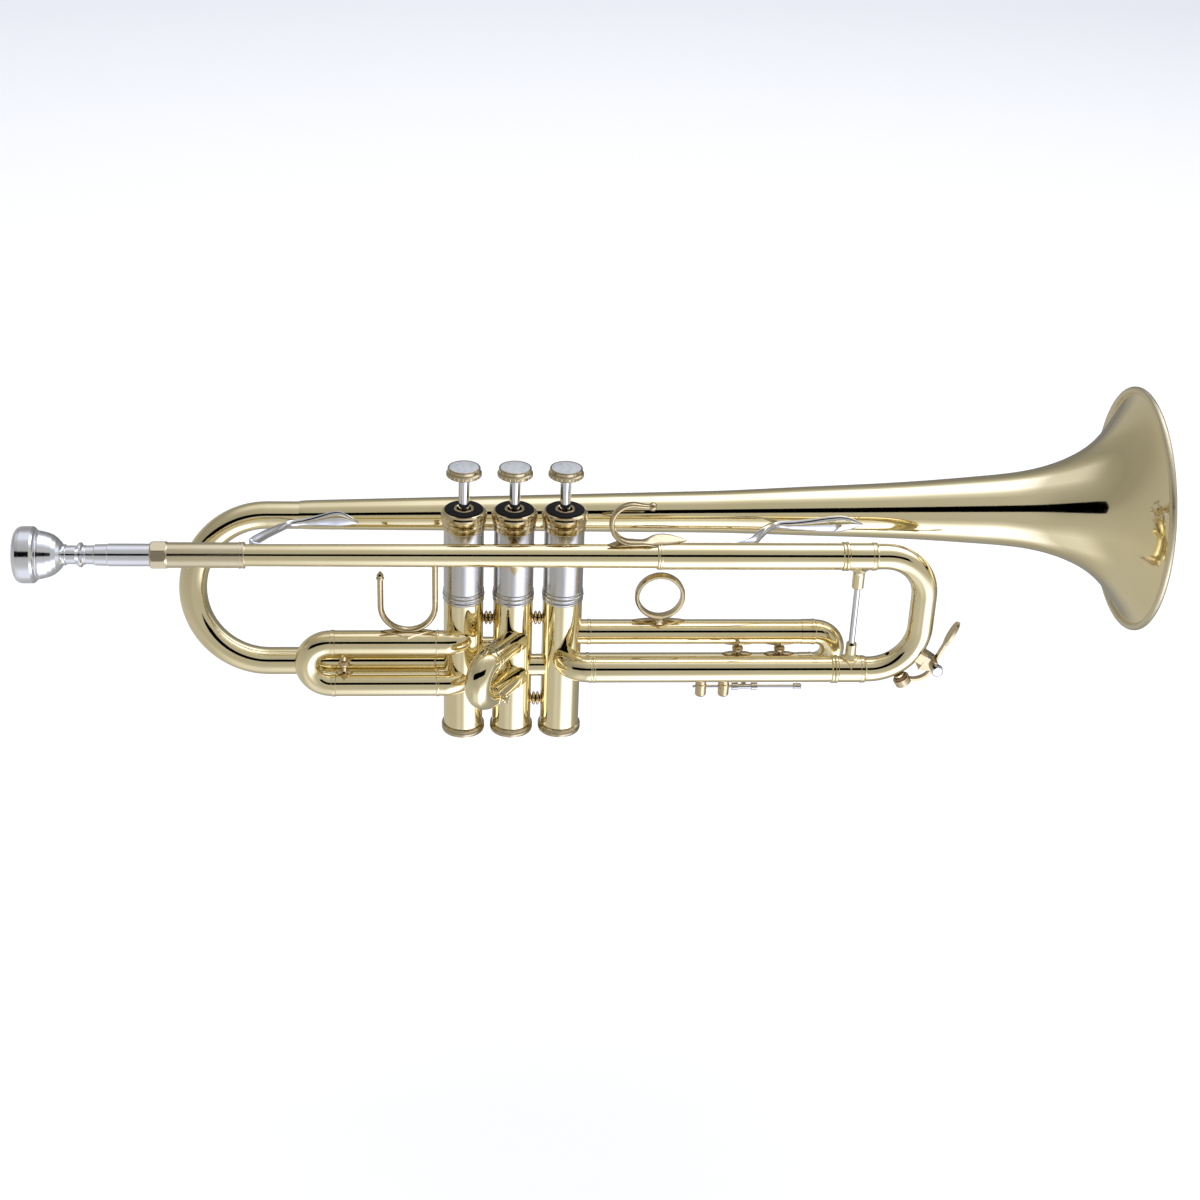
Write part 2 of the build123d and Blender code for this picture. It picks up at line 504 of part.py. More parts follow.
with BuildPart() as top_caps:
    for valve_x in valves_x:
        turned((valve_x, 0, 0), plus_z,
               [(CASING_TOP_Z, BORE_R + 0.6), (CASING_TOP_Z, 10.1), (5.2, 10.35), (7.0, 10.35), (7.3, 10.1),
                (7.7, 10.1), (8.1, 10.55), (9.4, 10.75), (9.7, 10.6), (10.0, 10.85), (11.4, 11.05),
                (12.6, 11.0), (13.5, 10.6), (14.1, 9.9), (14.3, 9.4), (13.7, 9.4), (13.7, 4.9),
                (14.9, 4.9), (15.3, 4.6), (15.3, 3.9), (15.0, 3.5), (12.0, 3.5), (12.0, 8.2),
                (10.5, BORE_R + 0.6)])
top_caps.part.label = "top_caps"
export_step(top_caps.part, "parts/top_caps.step")

with BuildPart() as cap_felts:
    for valve_x in valves_x:
        turned((valve_x, 0, 0), plus_z, [(13.72, 4.95), (13.72, 9.3), (14.8, 9.2), (15.0, 8.9), (15.0, 4.95)])
        turned((valve_x, 0, 0), plus_z, [(9.6, 3.3), (9.6, 7.2), (11.9, 7.2), (11.9, 3.3)])
cap_felts.part.label = "cap_felts"
export_step(cap_felts.part, "parts/cap_felts.step")

with BuildPart() as bottom_caps:
    for valve_x in valves_x:
        turned((valve_x, 0, 0), plus_z,
               [(-108.3, 1.6), (-108.3, 9.9), (-107.9, 10.5), (-106.9, 10.75), (-106.3, 10.75),
                (-105.6, 10.5), (-105.1, 10.75), (-104.4, 10.6), (-104.0, 10.1), (-104.0, CASING_R + SOLDER),
                (CASING_BOTTOM_Z - SOLDER, CASING_R + SOLDER), (CASING_BOTTOM_Z - SOLDER, 1.6)])
bottom_caps.part.label = "bottom_caps"
export_step(bottom_caps.part, "parts/bottom_caps.step")

GUIDE_Z = -26.0
GUIDE_THICKNESS = 2.0
BARREL_R = 7.6
BARREL_BORE_R = 6.4
BARREL_TOP_Z = 9.5
BARREL_HEAD_Z = 7.0
PISTON_TOP_Z = -30.0
PISTON_BOTTOM_Z = -86.0
piston_ports = [(-50.0, 20.0), (-63.5, 80.0), (-77.0, 140.0)]
STEM_R = 2.6
BUTTON_Z = 31.6
PEARL_DOME_R = 31.5

with BuildPart() as valve_guides:
    for valve_x in valves_x:
        rod((valve_x, 0, GUIDE_Z), plus_z, GUIDE_THICKNESS, 6.2)
        with BuildSketch(Plane.XY.offset(GUIDE_Z)) as guide_bar:
            with Locations((valve_x, 0)):
                Rectangle(16.5, 3.6)
        extrude(guide_bar.sketch, amount=GUIDE_THICKNESS)
        rod((valve_x, 0, GUIDE_Z), plus_z, GUIDE_THICKNESS, 3.0, Mode.SUBTRACT)
valve_guides.part.label = "valve_guides"
export_step(valve_guides.part, "parts/valve_guides.step")

for number, valve_x in enumerate(valves_x, start=1):
    with BuildPart() as piston:
        rod((valve_x, 0, PISTON_BOTTOM_Z), plus_z, PISTON_TOP_Z - PISTON_BOTTOM_Z, BORE_R - RUNNING)
        pipe((valve_x, 0, PISTON_TOP_Z), plus_z, BARREL_TOP_Z - PISTON_TOP_Z, BARREL_R, BARREL_BORE_R)
        pipe((valve_x, 0, BARREL_HEAD_Z), plus_z, BARREL_TOP_Z - BARREL_HEAD_Z, BARREL_R - 0.5, 1.9)
        with BuildSketch(Plane.XY.offset(GUIDE_Z - 0.3)) as guide_slot:
            with Locations((valve_x, 0)):
                Rectangle(20, 3.8)
        extrude(guide_slot.sketch, amount=STROKE + GUIDE_THICKNESS + 0.8, mode=Mode.SUBTRACT)
        for port_z, port_angle in piston_ports:
            direction = (cos(radians(port_angle)), sin(radians(port_angle)), 0)
            start = Vector(valve_x, 0, port_z) - Vector(*direction) * 12
            rod(start, direction, 24, PORT_R, Mode.SUBTRACT)
        rod((valve_x, 0, PISTON_BOTTOM_Z), plus_z, 1.5, 6.0, Mode.SUBTRACT)
    piston.part.label = f"piston_{number}"
    export_step(piston.part, f"parts/piston_{number}.step")

    with BuildPart() as valve_spring:
        coil_start = GUIDE_Z + GUIDE_THICKNESS + 0.6
        with BuildLine(Plane(origin=(valve_x, 0, coil_start), z_dir=plus_z)) as coil:
            Helix(pitch=3.3, height=29.7, radius=5.2)
        with BuildSketch(Plane(origin=coil.line @ 0, z_dir=coil.line % 0)) as wire:
            Circle(0.45)
        sweep(sections=wire.sketch, path=coil.line, is_frenet=True)
    valve_spring.part.label = f"valve_spring_{number}"
    export_step(valve_spring.part, f"parts/valve_spring_{number}.step")

    with BuildPart() as stem:
        turned((valve_x, 0, 0), plus_z,
               [(BARREL_HEAD_Z, 0), (BARREL_HEAD_Z, 1.85), (BARREL_TOP_Z, 1.85), (BARREL_TOP_Z, STEM_R),
                (BUTTON_Z - SOLDER, STEM_R), (BUTTON_Z - SOLDER, 1.5), (BUTTON_Z + 2.5, 1.5),
                (BUTTON_Z + 2.5, 0)])
    stem.part.label = f"stem_{number}"
    export_step(stem.part, f"parts/stem_{number}.step")

    with BuildPart() as button:
        turned((valve_x, 0, BUTTON_Z), plus_z,
               [(0, 1.52), (0, 6.9), (0.5, 7.9), (1.0, 8.5), (2.3, 8.5), (2.8, 7.9), (3.1, 7.7), (3.4, 7.8),
                (4.6, 7.85), (5.0, 7.6), (5.1, 7.2), (4.0, 7.1), (4.0, 0), (2.6, 0), (2.6, 1.52)])
        with Locations((valve_x, 0, BUTTON_Z + 1.6)):
            with PolarLocations(8.85, 24):
                Cylinder(0.6, 3.4, mode=Mode.SUBTRACT)
    button.part.label = f"button_{number}"
    export_step(button.part, f"parts/button_{number}.step")

    with BuildPart() as pearl:
        rod((valve_x, 0, BUTTON_Z + 4.02), plus_z, 2, 7.05)
        with Locations((valve_x, 0, BUTTON_Z + 5.7 - PEARL_DOME_R)):
            Sphere(PEARL_DOME_R, mode=Mode.INTERSECT)
    pearl.part.label = f"pearl_{number}"
    export_step(pearl.part, f"parts/pearl_{number}.step")

SPACER_END = PITCH / 2 - CASING_R + 1
with BuildPart() as valve_spacers:
    for spacer_x in (-PITCH, 0):
        for spacer_z in (-44.7, -91.0):
            turned((spacer_x + PITCH / 2, 0, spacer_z), plus_x,
                   [(-SPACER_END, 0), (-SPACER_END, 2.6), (-2.3, 2.3), (-2.0, 1.5), (-1.6, 2.9), (-1.2, 3.4),
                    (-0.7, 3.4), (-0.3, 2.9), (0, 1.6), (0.3, 2.9), (0.7, 3.4), (1.2, 3.4), (1.6, 2.9),
                    (2.0, 1.5), (2.3, 2.3), (SPACER_END, 2.6), (SPACER_END, 0)])
    for valve_x in valves_x:
        cut_casing(valve_x)
valve_spacers.part.label = "valve_spacers"
export_step(valve_spacers.part, "parts/valve_spacers.step")

with BuildPart() as crossover_tubes:
    pipe((-PITCH, CROSSOVER_Y, CROSSOVER_Z), plus_x, PITCH, 5.5, PORT_R)
    pipe((0, 0, -71.6), plus_x, PITCH, 5.5, PORT_R)
    turned((BRANCH_END_X, BRANCH_Y, BRANCH_Z), plus_x,
           [(0, BOW_BORE_R), (0, 6.8), (5.6, 6.8), (6.0, 6.4), (16, 6.4), (16, BOW_BORE_R)])
    for valve_x in valves_x:
        cut_casing(valve_x)
crossover_tubes.part.label = "crossover_tubes"
export_step(crossover_tubes.part, "parts/crossover_tubes.step")

# ---- first slide ---------------------------------------------------------------------------------------
KNUCKLE_R = 8.7
KNUCKLE_X = -33.0
with BuildPart() as first_inner_tubes:
    for leg_z in (FIRST_UPPER_Z, FIRST_LOWER_Z):
        pipe((FIRST_START_X, FIRST_Y, leg_z), minus_x, 48, VALVE_LEG_R, VALVE_BORE_R)
        pipe((FIRST_START_X, FIRST_Y, leg_z), plus_x, KNUCKLE_X - FIRST_START_X, VALVE_TUBE_R, VALVE_BORE_R)
        with BuildLine(Plane.XY.offset(leg_z)) as knuckle_route:
            JernArc((KNUCKLE_X, FIRST_Y), (1, 0), KNUCKLE_R, 90)
        bent_pipe(knuckle_route.line, VALVE_TUBE_R, VALVE_BORE_R)
    cut_casing(-PITCH)
first_inner_tubes.part.label = "first_inner_tubes"
export_step(first_inner_tubes.part, "parts/first_inner_tubes.step")

with BuildPart() as first_slide_tubes:
    tubes_x = FIRST_START_X - SOLDER
    ferrule = tubes_x - FIRST_FERRULE_X
    first_end = tubes_x - FIRST_BOW_X
    for leg_z in (FIRST_UPPER_Z, FIRST_LOWER_Z):
        turned((tubes_x, FIRST_Y, leg_z), minus_x,
               [(0, VALVE_LEG_R + RUNNING), (0, 6.3), (0.3, 6.4), (1.2, 6.4), (1.5, VALVE_TUBE_R),
                (ferrule - 0.2, VALVE_TUBE_R), (ferrule, 6.4), (first_end - 0.2, 6.4), (first_end, 6.2),
                (first_end, VALVE_LEG_R + RUNNING)])
first_slide_tubes.part.label = "first_slide_tubes"
export_step(first_slide_tubes.part, "parts/first_slide_tubes.step")

with BuildPart() as first_slide_bow:
    first_half = (FIRST_UPPER_Z - FIRST_LOWER_Z) / 2
    middle_z = (FIRST_UPPER_Z + FIRST_LOWER_Z) / 2
    with BuildLine(side_plane((FIRST_BOW_X, FIRST_Y, middle_z), minus_x)) as first_bow_route:
        CenterArc((0, 0), first_half, 90, -180)
    bent_pipe(first_bow_route.line, 6.1, 5.3)
first_slide_bow.part.label = "first_slide_bow"
export_step(first_slide_bow.part, "parts/first_slide_bow.step")

with BuildPart() as first_slide_brace:
    leg_brace(-82.6, FIRST_Y, FIRST_UPPER_Z, FIRST_LOWER_Z, VALVE_TUBE_R, 4.0, 4.6)
first_slide_brace.part.label = "first_slide_brace"
export_step(first_slide_brace.part, "parts/first_slide_brace.step")

SADDLE_HALF = 13.15          # from the saddle's middle to the centre of its strap
SADDLE_STRAP = (2.9, 3.8)
with BuildPart() as thumb_saddle:
    bend_z = FIRST_UPPER_Z + VALVE_TUBE_R + 1.2 + SADDLE_HALF
    with BuildLine(Plane(origin=(SADDLE_X, FIRST_Y, bend_z), x_dir=plus_x, z_dir=(0, -1, 0))) as saddle_route:
        Line((-SADDLE_HALF, 15.8), (-SADDLE_HALF, 0))
        CenterArc((0, 0), SADDLE_HALF, 180, 180)
        Line((SADDLE_HALF, 0), (SADDLE_HALF, 24.0))
    with BuildSketch(Plane(origin=saddle_route.line @ 0, x_dir=plus_x, z_dir=minus_z)) as strap:
        Ellipse(SADDLE_STRAP[0] / 2, SADDLE_STRAP[1] / 2)
    sweep(sections=strap.sketch, path=saddle_route.line)
    for tip in (saddle_route.line @ 0, saddle_route.line @ 1):
        turned(tip, plus_z,
               [(-1.4, 0), (-1.4, 1.6), (-0.9, 1.95), (-0.3, 1.95), (0.1, 1.5), (0.9, 1.7), (2.0, 1.1),
                (3.4, 0)])
    rod((SADDLE_X - 10, FIRST_Y, FIRST_UPPER_Z), plus_x, 20, VALVE_TUBE_R + SOLDER, Mode.SUBTRACT)
    diamond_foot((SADDLE_X, FIRST_Y, FIRST_UPPER_Z), plus_x, plus_z, VALVE_TUBE_R, 13.3, 4.4)
thumb_saddle.part.label = "thumb_saddle"
export_step(thumb_saddle.part, "parts/thumb_saddle.step")

# ---- second slide --------------------------------------------------------------------------------------
second = Vector(*second_direction)
second_start = Vector(*SECOND_START)
with BuildPart() as second_port_tubes:
    for leg_z in (SECOND_UPPER_Z, SECOND_LOWER_Z):
        # closed behind the port, so that the air turns from the casing into the slide
        turned(second_start + Vector(0, 0, leg_z), second_direction,
               [(1.6, 0), (1.6, 3.6), (2.0, 4.9), (2.9, 5.8), (4.0, VALVE_TUBE_R), (7.6, VALVE_TUBE_R),
                (7.8, 6.35), (8.8, 6.35), (9.0, VALVE_TUBE_R), (SECOND_TUBE_END - 1.3, VALVE_TUBE_R),
                (SECOND_TUBE_END - 1.1, 6.45), (SECOND_TUBE_END - 0.2, 6.45), (SECOND_TUBE_END, 6.3),
                (SECOND_TUBE_END, VALVE_LEG_R + RUNNING), (5.0, VALVE_LEG_R + RUNNING), (5.0, 0)])
        rod((SECOND_PORT_X, -4, leg_z), minus_y, 7.4, PORT_R, Mode.SUBTRACT)
    cut_casing(0)
second_port_tubes.part.label = "second_port_tubes"
export_step(second_port_tubes.part, "parts/second_port_tubes.step")

with BuildPart() as second_slide_legs:
    for leg_z in (SECOND_UPPER_Z, SECOND_LOWER_Z):
        turned(second_start + Vector(0, 0, leg_z), second_direction,
               [(SECOND_LEG_START, VALVE_BORE_R), (SECOND_LEG_START, VALVE_LEG_R),
                (SECOND_TUBE_END + SOLDER, VALVE_LEG_R), (SECOND_TUBE_END + SOLDER, 6.4),
                (SECOND_FERRULE_END - 1.2, 6.4), (SECOND_FERRULE_END - 1.0, 6.7),
                (SECOND_FERRULE_END - 0.2, 6.7), (SECOND_FERRULE_END, 6.5),
                (SECOND_FERRULE_END, VALVE_BORE_R)])
    # the pull knob on the lower leg
    knob_side = second.cross(Vector(0, 0, -1))
    knob_centre = second_start + second * (SECOND_FERRULE_END - 1.3) + Vector(0, 0, SECOND_LOWER_Z)
    turned(knob_centre, knob_side,
           [(5.9, 0), (5.9, 1.2), (7.4, 1.2), (8.0, 1.9), (9.4, 2.3), (10.2, 1.8), (10.5, 0)])
second_slide_legs.part.label = "second_slide_legs"
export_step(second_slide_legs.part, "parts/second_slide_legs.step")

SECOND_BOW_TUBE_R = 6.35
with BuildPart() as second_slide_bow:
    second_half = (SECOND_UPPER_Z - SECOND_LOWER_Z) / 2
    bow_centre = second_start + second * SECOND_FERRULE_END
    bow_centre += Vector(0, 0, (SECOND_UPPER_Z + SECOND_LOWER_Z) / 2)
    with BuildLine(side_plane(bow_centre, second_direction)) as second_bow_route:
        CenterArc((0, 0), second_half, 90, -180)
    bent_pipe(second_bow_route.line, SECOND_BOW_TUBE_R, 5.3)
second_slide_bow.part.label = "second_slide_bow"
export_step(second_slide_bow.part, "parts/second_slide_bow.step")

# ---- third slide ------------------------------------------------------------------------------------------
with BuildPart() as third_inner_tubes:
    for leg_z in (THIRD_UPPER_Z, THIRD_LOWER_Z):
        pipe((THIRD_START_X, 0, leg_z), plus_x, 100, VALVE_LEG_R, VALVE_BORE_R)
        pipe((PITCH, 0, leg_z), plus_x, THIRD_START_X - PITCH, VALVE_TUBE_R, VALVE_BORE_R)
    cut_casing(PITCH)
third_inner_tubes.part.label = "third_inner_tubes"
export_step(third_inner_tubes.part, "parts/third_inner_tubes.step")

with BuildPart() as third_slide_tubes:
    third_x = THIRD_START_X + SOLDER
    for leg_z in (THIRD_UPPER_Z, THIRD_LOWER_Z):
        turned((0, 0, leg_z), plus_x,
               [(third_x, VALVE_LEG_R + RUNNING), (third_x, 6.3), (third_x + 0.3, 6.4), (third_x + 1.2, 6.4),
                (third_x + 1.5, VALVE_TUBE_R), (THIRD_FERRULE_X - 0.3, VALVE_TUBE_R), (THIRD_FERRULE_X, 6.3),
                (THIRD_BOW_X - 2.0, 6.3), (THIRD_BOW_X - 1.7, 6.45), (THIRD_BOW_X - 0.3, 6.45),
                (THIRD_BOW_X, 6.2), (THIRD_BOW_X, VALVE_LEG_R + RUNNING)])
third_slide_tubes.part.label = "third_slide_tubes"
export_step(third_slide_tubes.part, "parts/third_slide_tubes.step")

with BuildPart() as third_slide_bow:
    third_half = (THIRD_UPPER_Z - THIRD_LOWER_Z) / 2
    third_middle_z = (THIRD_UPPER_Z + THIRD_LOWER_Z) / 2
    with BuildLine(side_plane((THIRD_BOW_X, 0, third_middle_z), plus_x)) as third_bow_route:
        CenterArc((0, 0), third_half, 90, -180)
    bent_pipe(third_bow_route.line, 6.1, 5.3)
third_slide_bow.part.label = "third_slide_bow"
export_step(third_slide_bow.part, "parts/third_slide_bow.step")

with BuildPart() as third_slide_braces:
    for brace_x in (112.8, 133.9):
        leg_brace(brace_x, 0, THIRD_UPPER_Z, THIRD_LOWER_Z, VALVE_TUBE_R, 7.6, 4.4)
third_slide_braces.part.label = "third_slide_braces"
export_step(third_slide_braces.part, "parts/third_slide_braces.step")

RING_HALF = 2.2
with BuildPart() as finger_ring:
    turned((RING_X, 0, RING_Z), (0, 1, 0),
           [(-RING_HALF, RING_INNER_R + 0.3), (-RING_HALF + 0.3, RING_INNER_R), (RING_HALF - 0.3, RING_INNER_R),
            (RING_HALF, RING_INNER_R + 0.3), (RING_HALF, 11.6), (RING_HALF - 0.6, 12.3), (0, 12.5),
            (-RING_HALF + 0.6, 12.3), (-RING_HALF, 11.6)])
    turned((RING_X, 0, THIRD_UPPER_Z), plus_z, [(6.3, 0), (6.3, 4.6), (7.0, 3.4), (7.6, 2.6), (8.6, 2.2), (8.6, 0)])
    rod((RING_X, -5, RING_Z), (0, 1, 0), 10, RING_INNER_R, Mode.SUBTRACT)
    diamond_foot((RING_X, 0, THIRD_UPPER_Z), plus_x, plus_z, VALVE_TUBE_R, 13.2, 4.7)
finger_ring.part.label = "finger_ring"
export_step(finger_ring.part, "parts/finger_ring.step")

with BuildPart() as stop_posts:
    for post_x in POSTS_X:
        turned((post_x, LEADPIPE_Y, MAIN_LOWER_Z), minus_z,
               [(5.0, 0), (5.0, 2.6), (7.6, 2.6), (7.9, 2.4), (8.2, 2.75), (13.8, 2.75), (14.5, 2.3),
                (14.5, 0)])
        rod((post_x - 5, LEADPIPE_Y, STOP_Z), plus_x, 10, STOP_ROD_R + SOLDER, Mode.SUBTRACT)
        rod((post_x - 5, LEADPIPE_Y, MAIN_LOWER_Z), plus_x, 10, MAIN_TUBE_R + SOLDER, Mode.SUBTRACT)
stop_posts.part.label = "stop_posts"
export_step(stop_posts.part, "parts/stop_posts.step")

STOP_NUT_X = SLEEVE_X + SLEEVE_LENGTH + THIRD_TRAVEL + 0.1
with BuildPart() as stop_rod:
    turned((0, LEADPIPE_Y, STOP_Z), plus_x,
           [(POSTS_X[0] - 4, 0), (POSTS_X[0] - 4, STOP_ROD_R), (STOP_NUT_X, STOP_ROD_R), (STOP_NUT_X, 1.5),
            (STOP_NUT_X + 3.4, 1.5), (STOP_NUT_X + 3.9, 1.1), (STOP_NUT_X + 3.9, 0)])
stop_rod.part.label = "stop_rod"
export_step(stop_rod.part, "parts/stop_rod.step")

with BuildPart() as stop_sleeve:
    sleeve_bore = STOP_ROD_R + RUNNING
    sleeve_end = SLEEVE_X + SLEEVE_LENGTH
    arm_x = SLEEVE_X + SLEEVE_LENGTH / 2
    turned((0, LEADPIPE_Y, STOP_Z), plus_x,
           [(SLEEVE_X, sleeve_bore), (SLEEVE_X, 1.9), (SLEEVE_X + 3.0, 1.9), (SLEEVE_X + 3.0, 1.25),
            (sleeve_end - 3.0, 1.25), (sleeve_end - 3.0, 1.9), (sleeve_end, 1.9),
            (sleeve_end, sleeve_bore)])
    rod((arm_x, LEADPIPE_Y + 1.0, STOP_Z), (0, 1, 0), 15.4, 1.2)
    rod((arm_x - 5, 0, THIRD_LOWER_Z), plus_x, 10, VALVE_TUBE_R + SOLDER, Mode.SUBTRACT)
    diamond_foot((arm_x, 0, THIRD_LOWER_Z), plus_x, (0, -1, 0), VALVE_TUBE_R, 5.0, 3.6)
stop_sleeve.part.label = "stop_sleeve"
export_step(stop_sleeve.part, "parts/stop_sleeve.step")

# ---- braces and hook --------------------------------------------------------------------------------------
with BuildPart() as leadpipe_valve_brace:
    pipe_r = LEADPIPE_START_R - LEADPIPE_START_X / (LEADPIPE_END_X - LEADPIPE_START_X) * (
        LEADPIPE_END_R - LEADPIPE_START_R)
    turned((0, LEADPIPE_Y, -1.0), (0, 1, 0),
           [(pipe_r, 0), (pipe_r, 2.0), (7.4, 1.6), (8.2, 1.8), (9.4, 2.1), (10.6, 2.4), (10.6, 0)])
    diamond_foot((0, 0, -6.2), plus_z, (0, -1, 0), CASING_R, 10.2, 6.0)
    diamond_foot((0, LEADPIPE_Y, 0), plus_x, (0, 1, 0), pipe_r + 0.1, 7.0, 4.4)
    rod((-12, LEADPIPE_Y, 0), plus_x, 24, pipe_r + 0.1, Mode.SUBTRACT)
    cut_casing(0)
leadpipe_valve_brace.part.label = "leadpipe_valve_brace"
export_step(leadpipe_valve_brace.part, "parts/leadpipe_valve_brace.step")

HOOK_CENTRE = (55.2, 17.1)   # the finger hook's curl, in X and Z
HOOK_R = 10.0
HOOK_PIPE_R = 5.82
HOOK_FOOT_END_X = 78.0
with BuildPart() as finger_hook:
    hook_plane = Plane(origin=(HOOK_CENTRE[0], LEADPIPE_Y, HOOK_CENTRE[1]), x_dir=plus_x, z_dir=minus_y)
    with BuildLine(hook_plane) as hook_route:
        Line((10.0, -HOOK_R), (0, -HOOK_R))
        curl = CenterArc((0, 0), HOOK_R, -90, -195)
        Line(curl @ 1, curl @ 1 + (curl % 1) * 5.6)
    with BuildSketch(Plane(origin=hook_route.line @ 0, x_dir=(0, 1, 0), z_dir=minus_x)) as hook_strap:
        SlotOverall(5.0, 2.2)
    sweep(sections=hook_strap.sketch, path=hook_route.line)
    with Locations(hook_route.line @ 1):
        Sphere(2.1)
    # the long leaf under it, bent round the leadpipe
    with BuildPart(mode=Mode.PRIVATE) as hook_leaf:
        with BuildSketch(Plane.XY) as leaf:
            with BuildLine():
                Polyline((44.5, LEADPIPE_Y), (50.0, LEADPIPE_Y - 3.2), (58.0, LEADPIPE_Y - 3.0),
                         (67.0, LEADPIPE_Y - 5.2), (72.0, LEADPIPE_Y - 4.6), (HOOK_FOOT_END_X, LEADPIPE_Y),
                         (72.0, LEADPIPE_Y + 4.6), (67.0, LEADPIPE_Y + 5.2), (58.0, LEADPIPE_Y + 3.0),
                         (50.0, LEADPIPE_Y + 3.2), close=True)
            make_face()
        extrude(leaf.sketch, amount=12)
        turned((0, LEADPIPE_Y, 0), plus_x,
               [(36, 0), (36, 6.6), (66, 6.8), (67, 7.2), (HOOK_FOOT_END_X, 7.2), (HOOK_FOOT_END_X, 0)],
               Mode.INTERSECT)
    add(hook_leaf.part)
    turned((0, LEADPIPE_Y, 0), plus_x,
           [(36, 0), (36, HOOK_PIPE_R), (LEADPIPE_END_X - 0.05, HOOK_PIPE_R), (LEADPIPE_END_X - 0.05, 6.64),
            (80, 6.64), (80, 0)],
           Mode.SUBTRACT)
finger_hook.part.label = "finger_hook"
export_step(finger_hook.part, "parts/finger_hook.step")


def bell_brace(pipe_end, bell_end, pipe_r, pipe_leaf, bell_leaf):
    """A flat bar from the leadpipe side to the bell, with a leaf bent round each tube."""
    start = Vector(*pipe_end)
    end = Vector(*bell_end)
    bar_plane = Plane(origin=start, x_dir=(end - start).cross(Vector(0, 0, 1)), z_dir=end - start)
    with BuildSketch(bar_plane) as bar:
        SlotOverall(4.4, 2.4)
    extrude(bar.sketch, amount=(end - start).length)
    with BuildPart(mode=Mode.PRIVATE) as leaf_on_bell:
        with BuildSketch(Plane(origin=(0, BELL_Y, 0), x_dir=plus_x, z_dir=(0, -1, 0))) as leaf:
            with BuildLine():
                Polyline(*bell_leaf, close=True)
            make_face()
        extrude(leaf.sketch, amount=20)
        turned(bell_origin, bell_direction,
               [(-150, bell_radius(-150) + 1.1), (-150, 3), (200, 3), (200, bell_radius(200) + 1.9)],
               Mode.INTERSECT)
    add(leaf_on_bell.part)
    with BuildPart(mode=Mode.PRIVATE) as leaf_on_pipe:
        with BuildSketch(Plane(origin=(0, LEADPIPE_Y, 0), x_dir=plus_x, z_dir=(0, -1, 0))) as leaf:
            with BuildLine():
                Polyline(*pipe_leaf, close=True)
            make_face()
        extrude(leaf.sketch, amount=-20)
        rod((-150, LEADPIPE_Y, 0), plus_x, 300, pipe_r + 1.0, Mode.INTERSECT)
    add(leaf_on_pipe.part)
    rod((-150, LEADPIPE_Y, 0), plus_x, 300, pipe_r, Mode.SUBTRACT)


def cut_bell_tail():
    """Trims a brace to the bell's outside, from the bow to the start of the flare."""
    with BuildSketch(side_plane(bell_origin, bell_direction)) as tail_section:
        with BuildLine():
            Polyline((-150, 0), (-150, BELL_START_R + SOLDER), (BELL_START_X, BELL_START_R + SOLDER),
                     (BELL_TAIL_END_X, BELL_TAIL_END_R + SOLDER))
            Spline(*[(x, r + SOLDER) for x, r in flare_points], tangents=[(1, 0.017), (0.42, 0.91)])
            Polyline((310.9, 58.4 + SOLDER), (310.9, 0), (-150, 0))
        make_face()
    revolve(tail_section.sketch, axis=Axis(bell_origin, bell_direction), mode=Mode.SUBTRACT)


with BuildPart() as bell_brace_rear:
    bell_brace((-126.2, -17.0, 1.8), (-106.0, 17.2, 0.4), 5.35,
               [(-126.6, -2.0), (-126.6, 3.2), (-120, 4.6), (-105, 0.5), (-116, -3.0)],
               [(-109.5, -2.2), (-104.5, 2.2), (-85.3, 6.1), (-74.9, -0.8), (-81.5, -2.9), (-104, -2.6)])
    cut_bell_tail()
    rod((-150, LEADPIPE_Y, 0), plus_x, LEADPIPE_START_X + 2 + 150, 6.4, Mode.SUBTRACT)
bell_brace_rear.part.label = "bell_brace_rear"
export_step(bell_brace_rear.part, "parts/bell_brace_rear.step")

with BuildPart() as bell_brace_front:
    bell_brace((111.0, -16.5, 2.4), (131.5, 13.0, 1.8), MAIN_TUBE_R + SOLDER,
               [(86, 0.5), (100, 4.4), (116, 3.8), (116, -1.4), (100, -2.6)],
               [(127.6, -0.6), (130.0, 2.9), (159.5, 6.0), (166.4, 5.0), (171.8, 1.1), (158.0, -2.8),
                (136, -1.9)])
    cut_bell_tail()
bell_brace_front.part.label = "bell_brace_front"
export_step(bell_brace_front.part, "parts/bell_brace_front.step")
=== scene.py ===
"""A lacquered brass trumpet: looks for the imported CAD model, with studio light and a camera. Metres."""
import bpy
import json
import numpy as np
from math import cos, pi, radians, sin, tan
from mathutils import Matrix, Vector


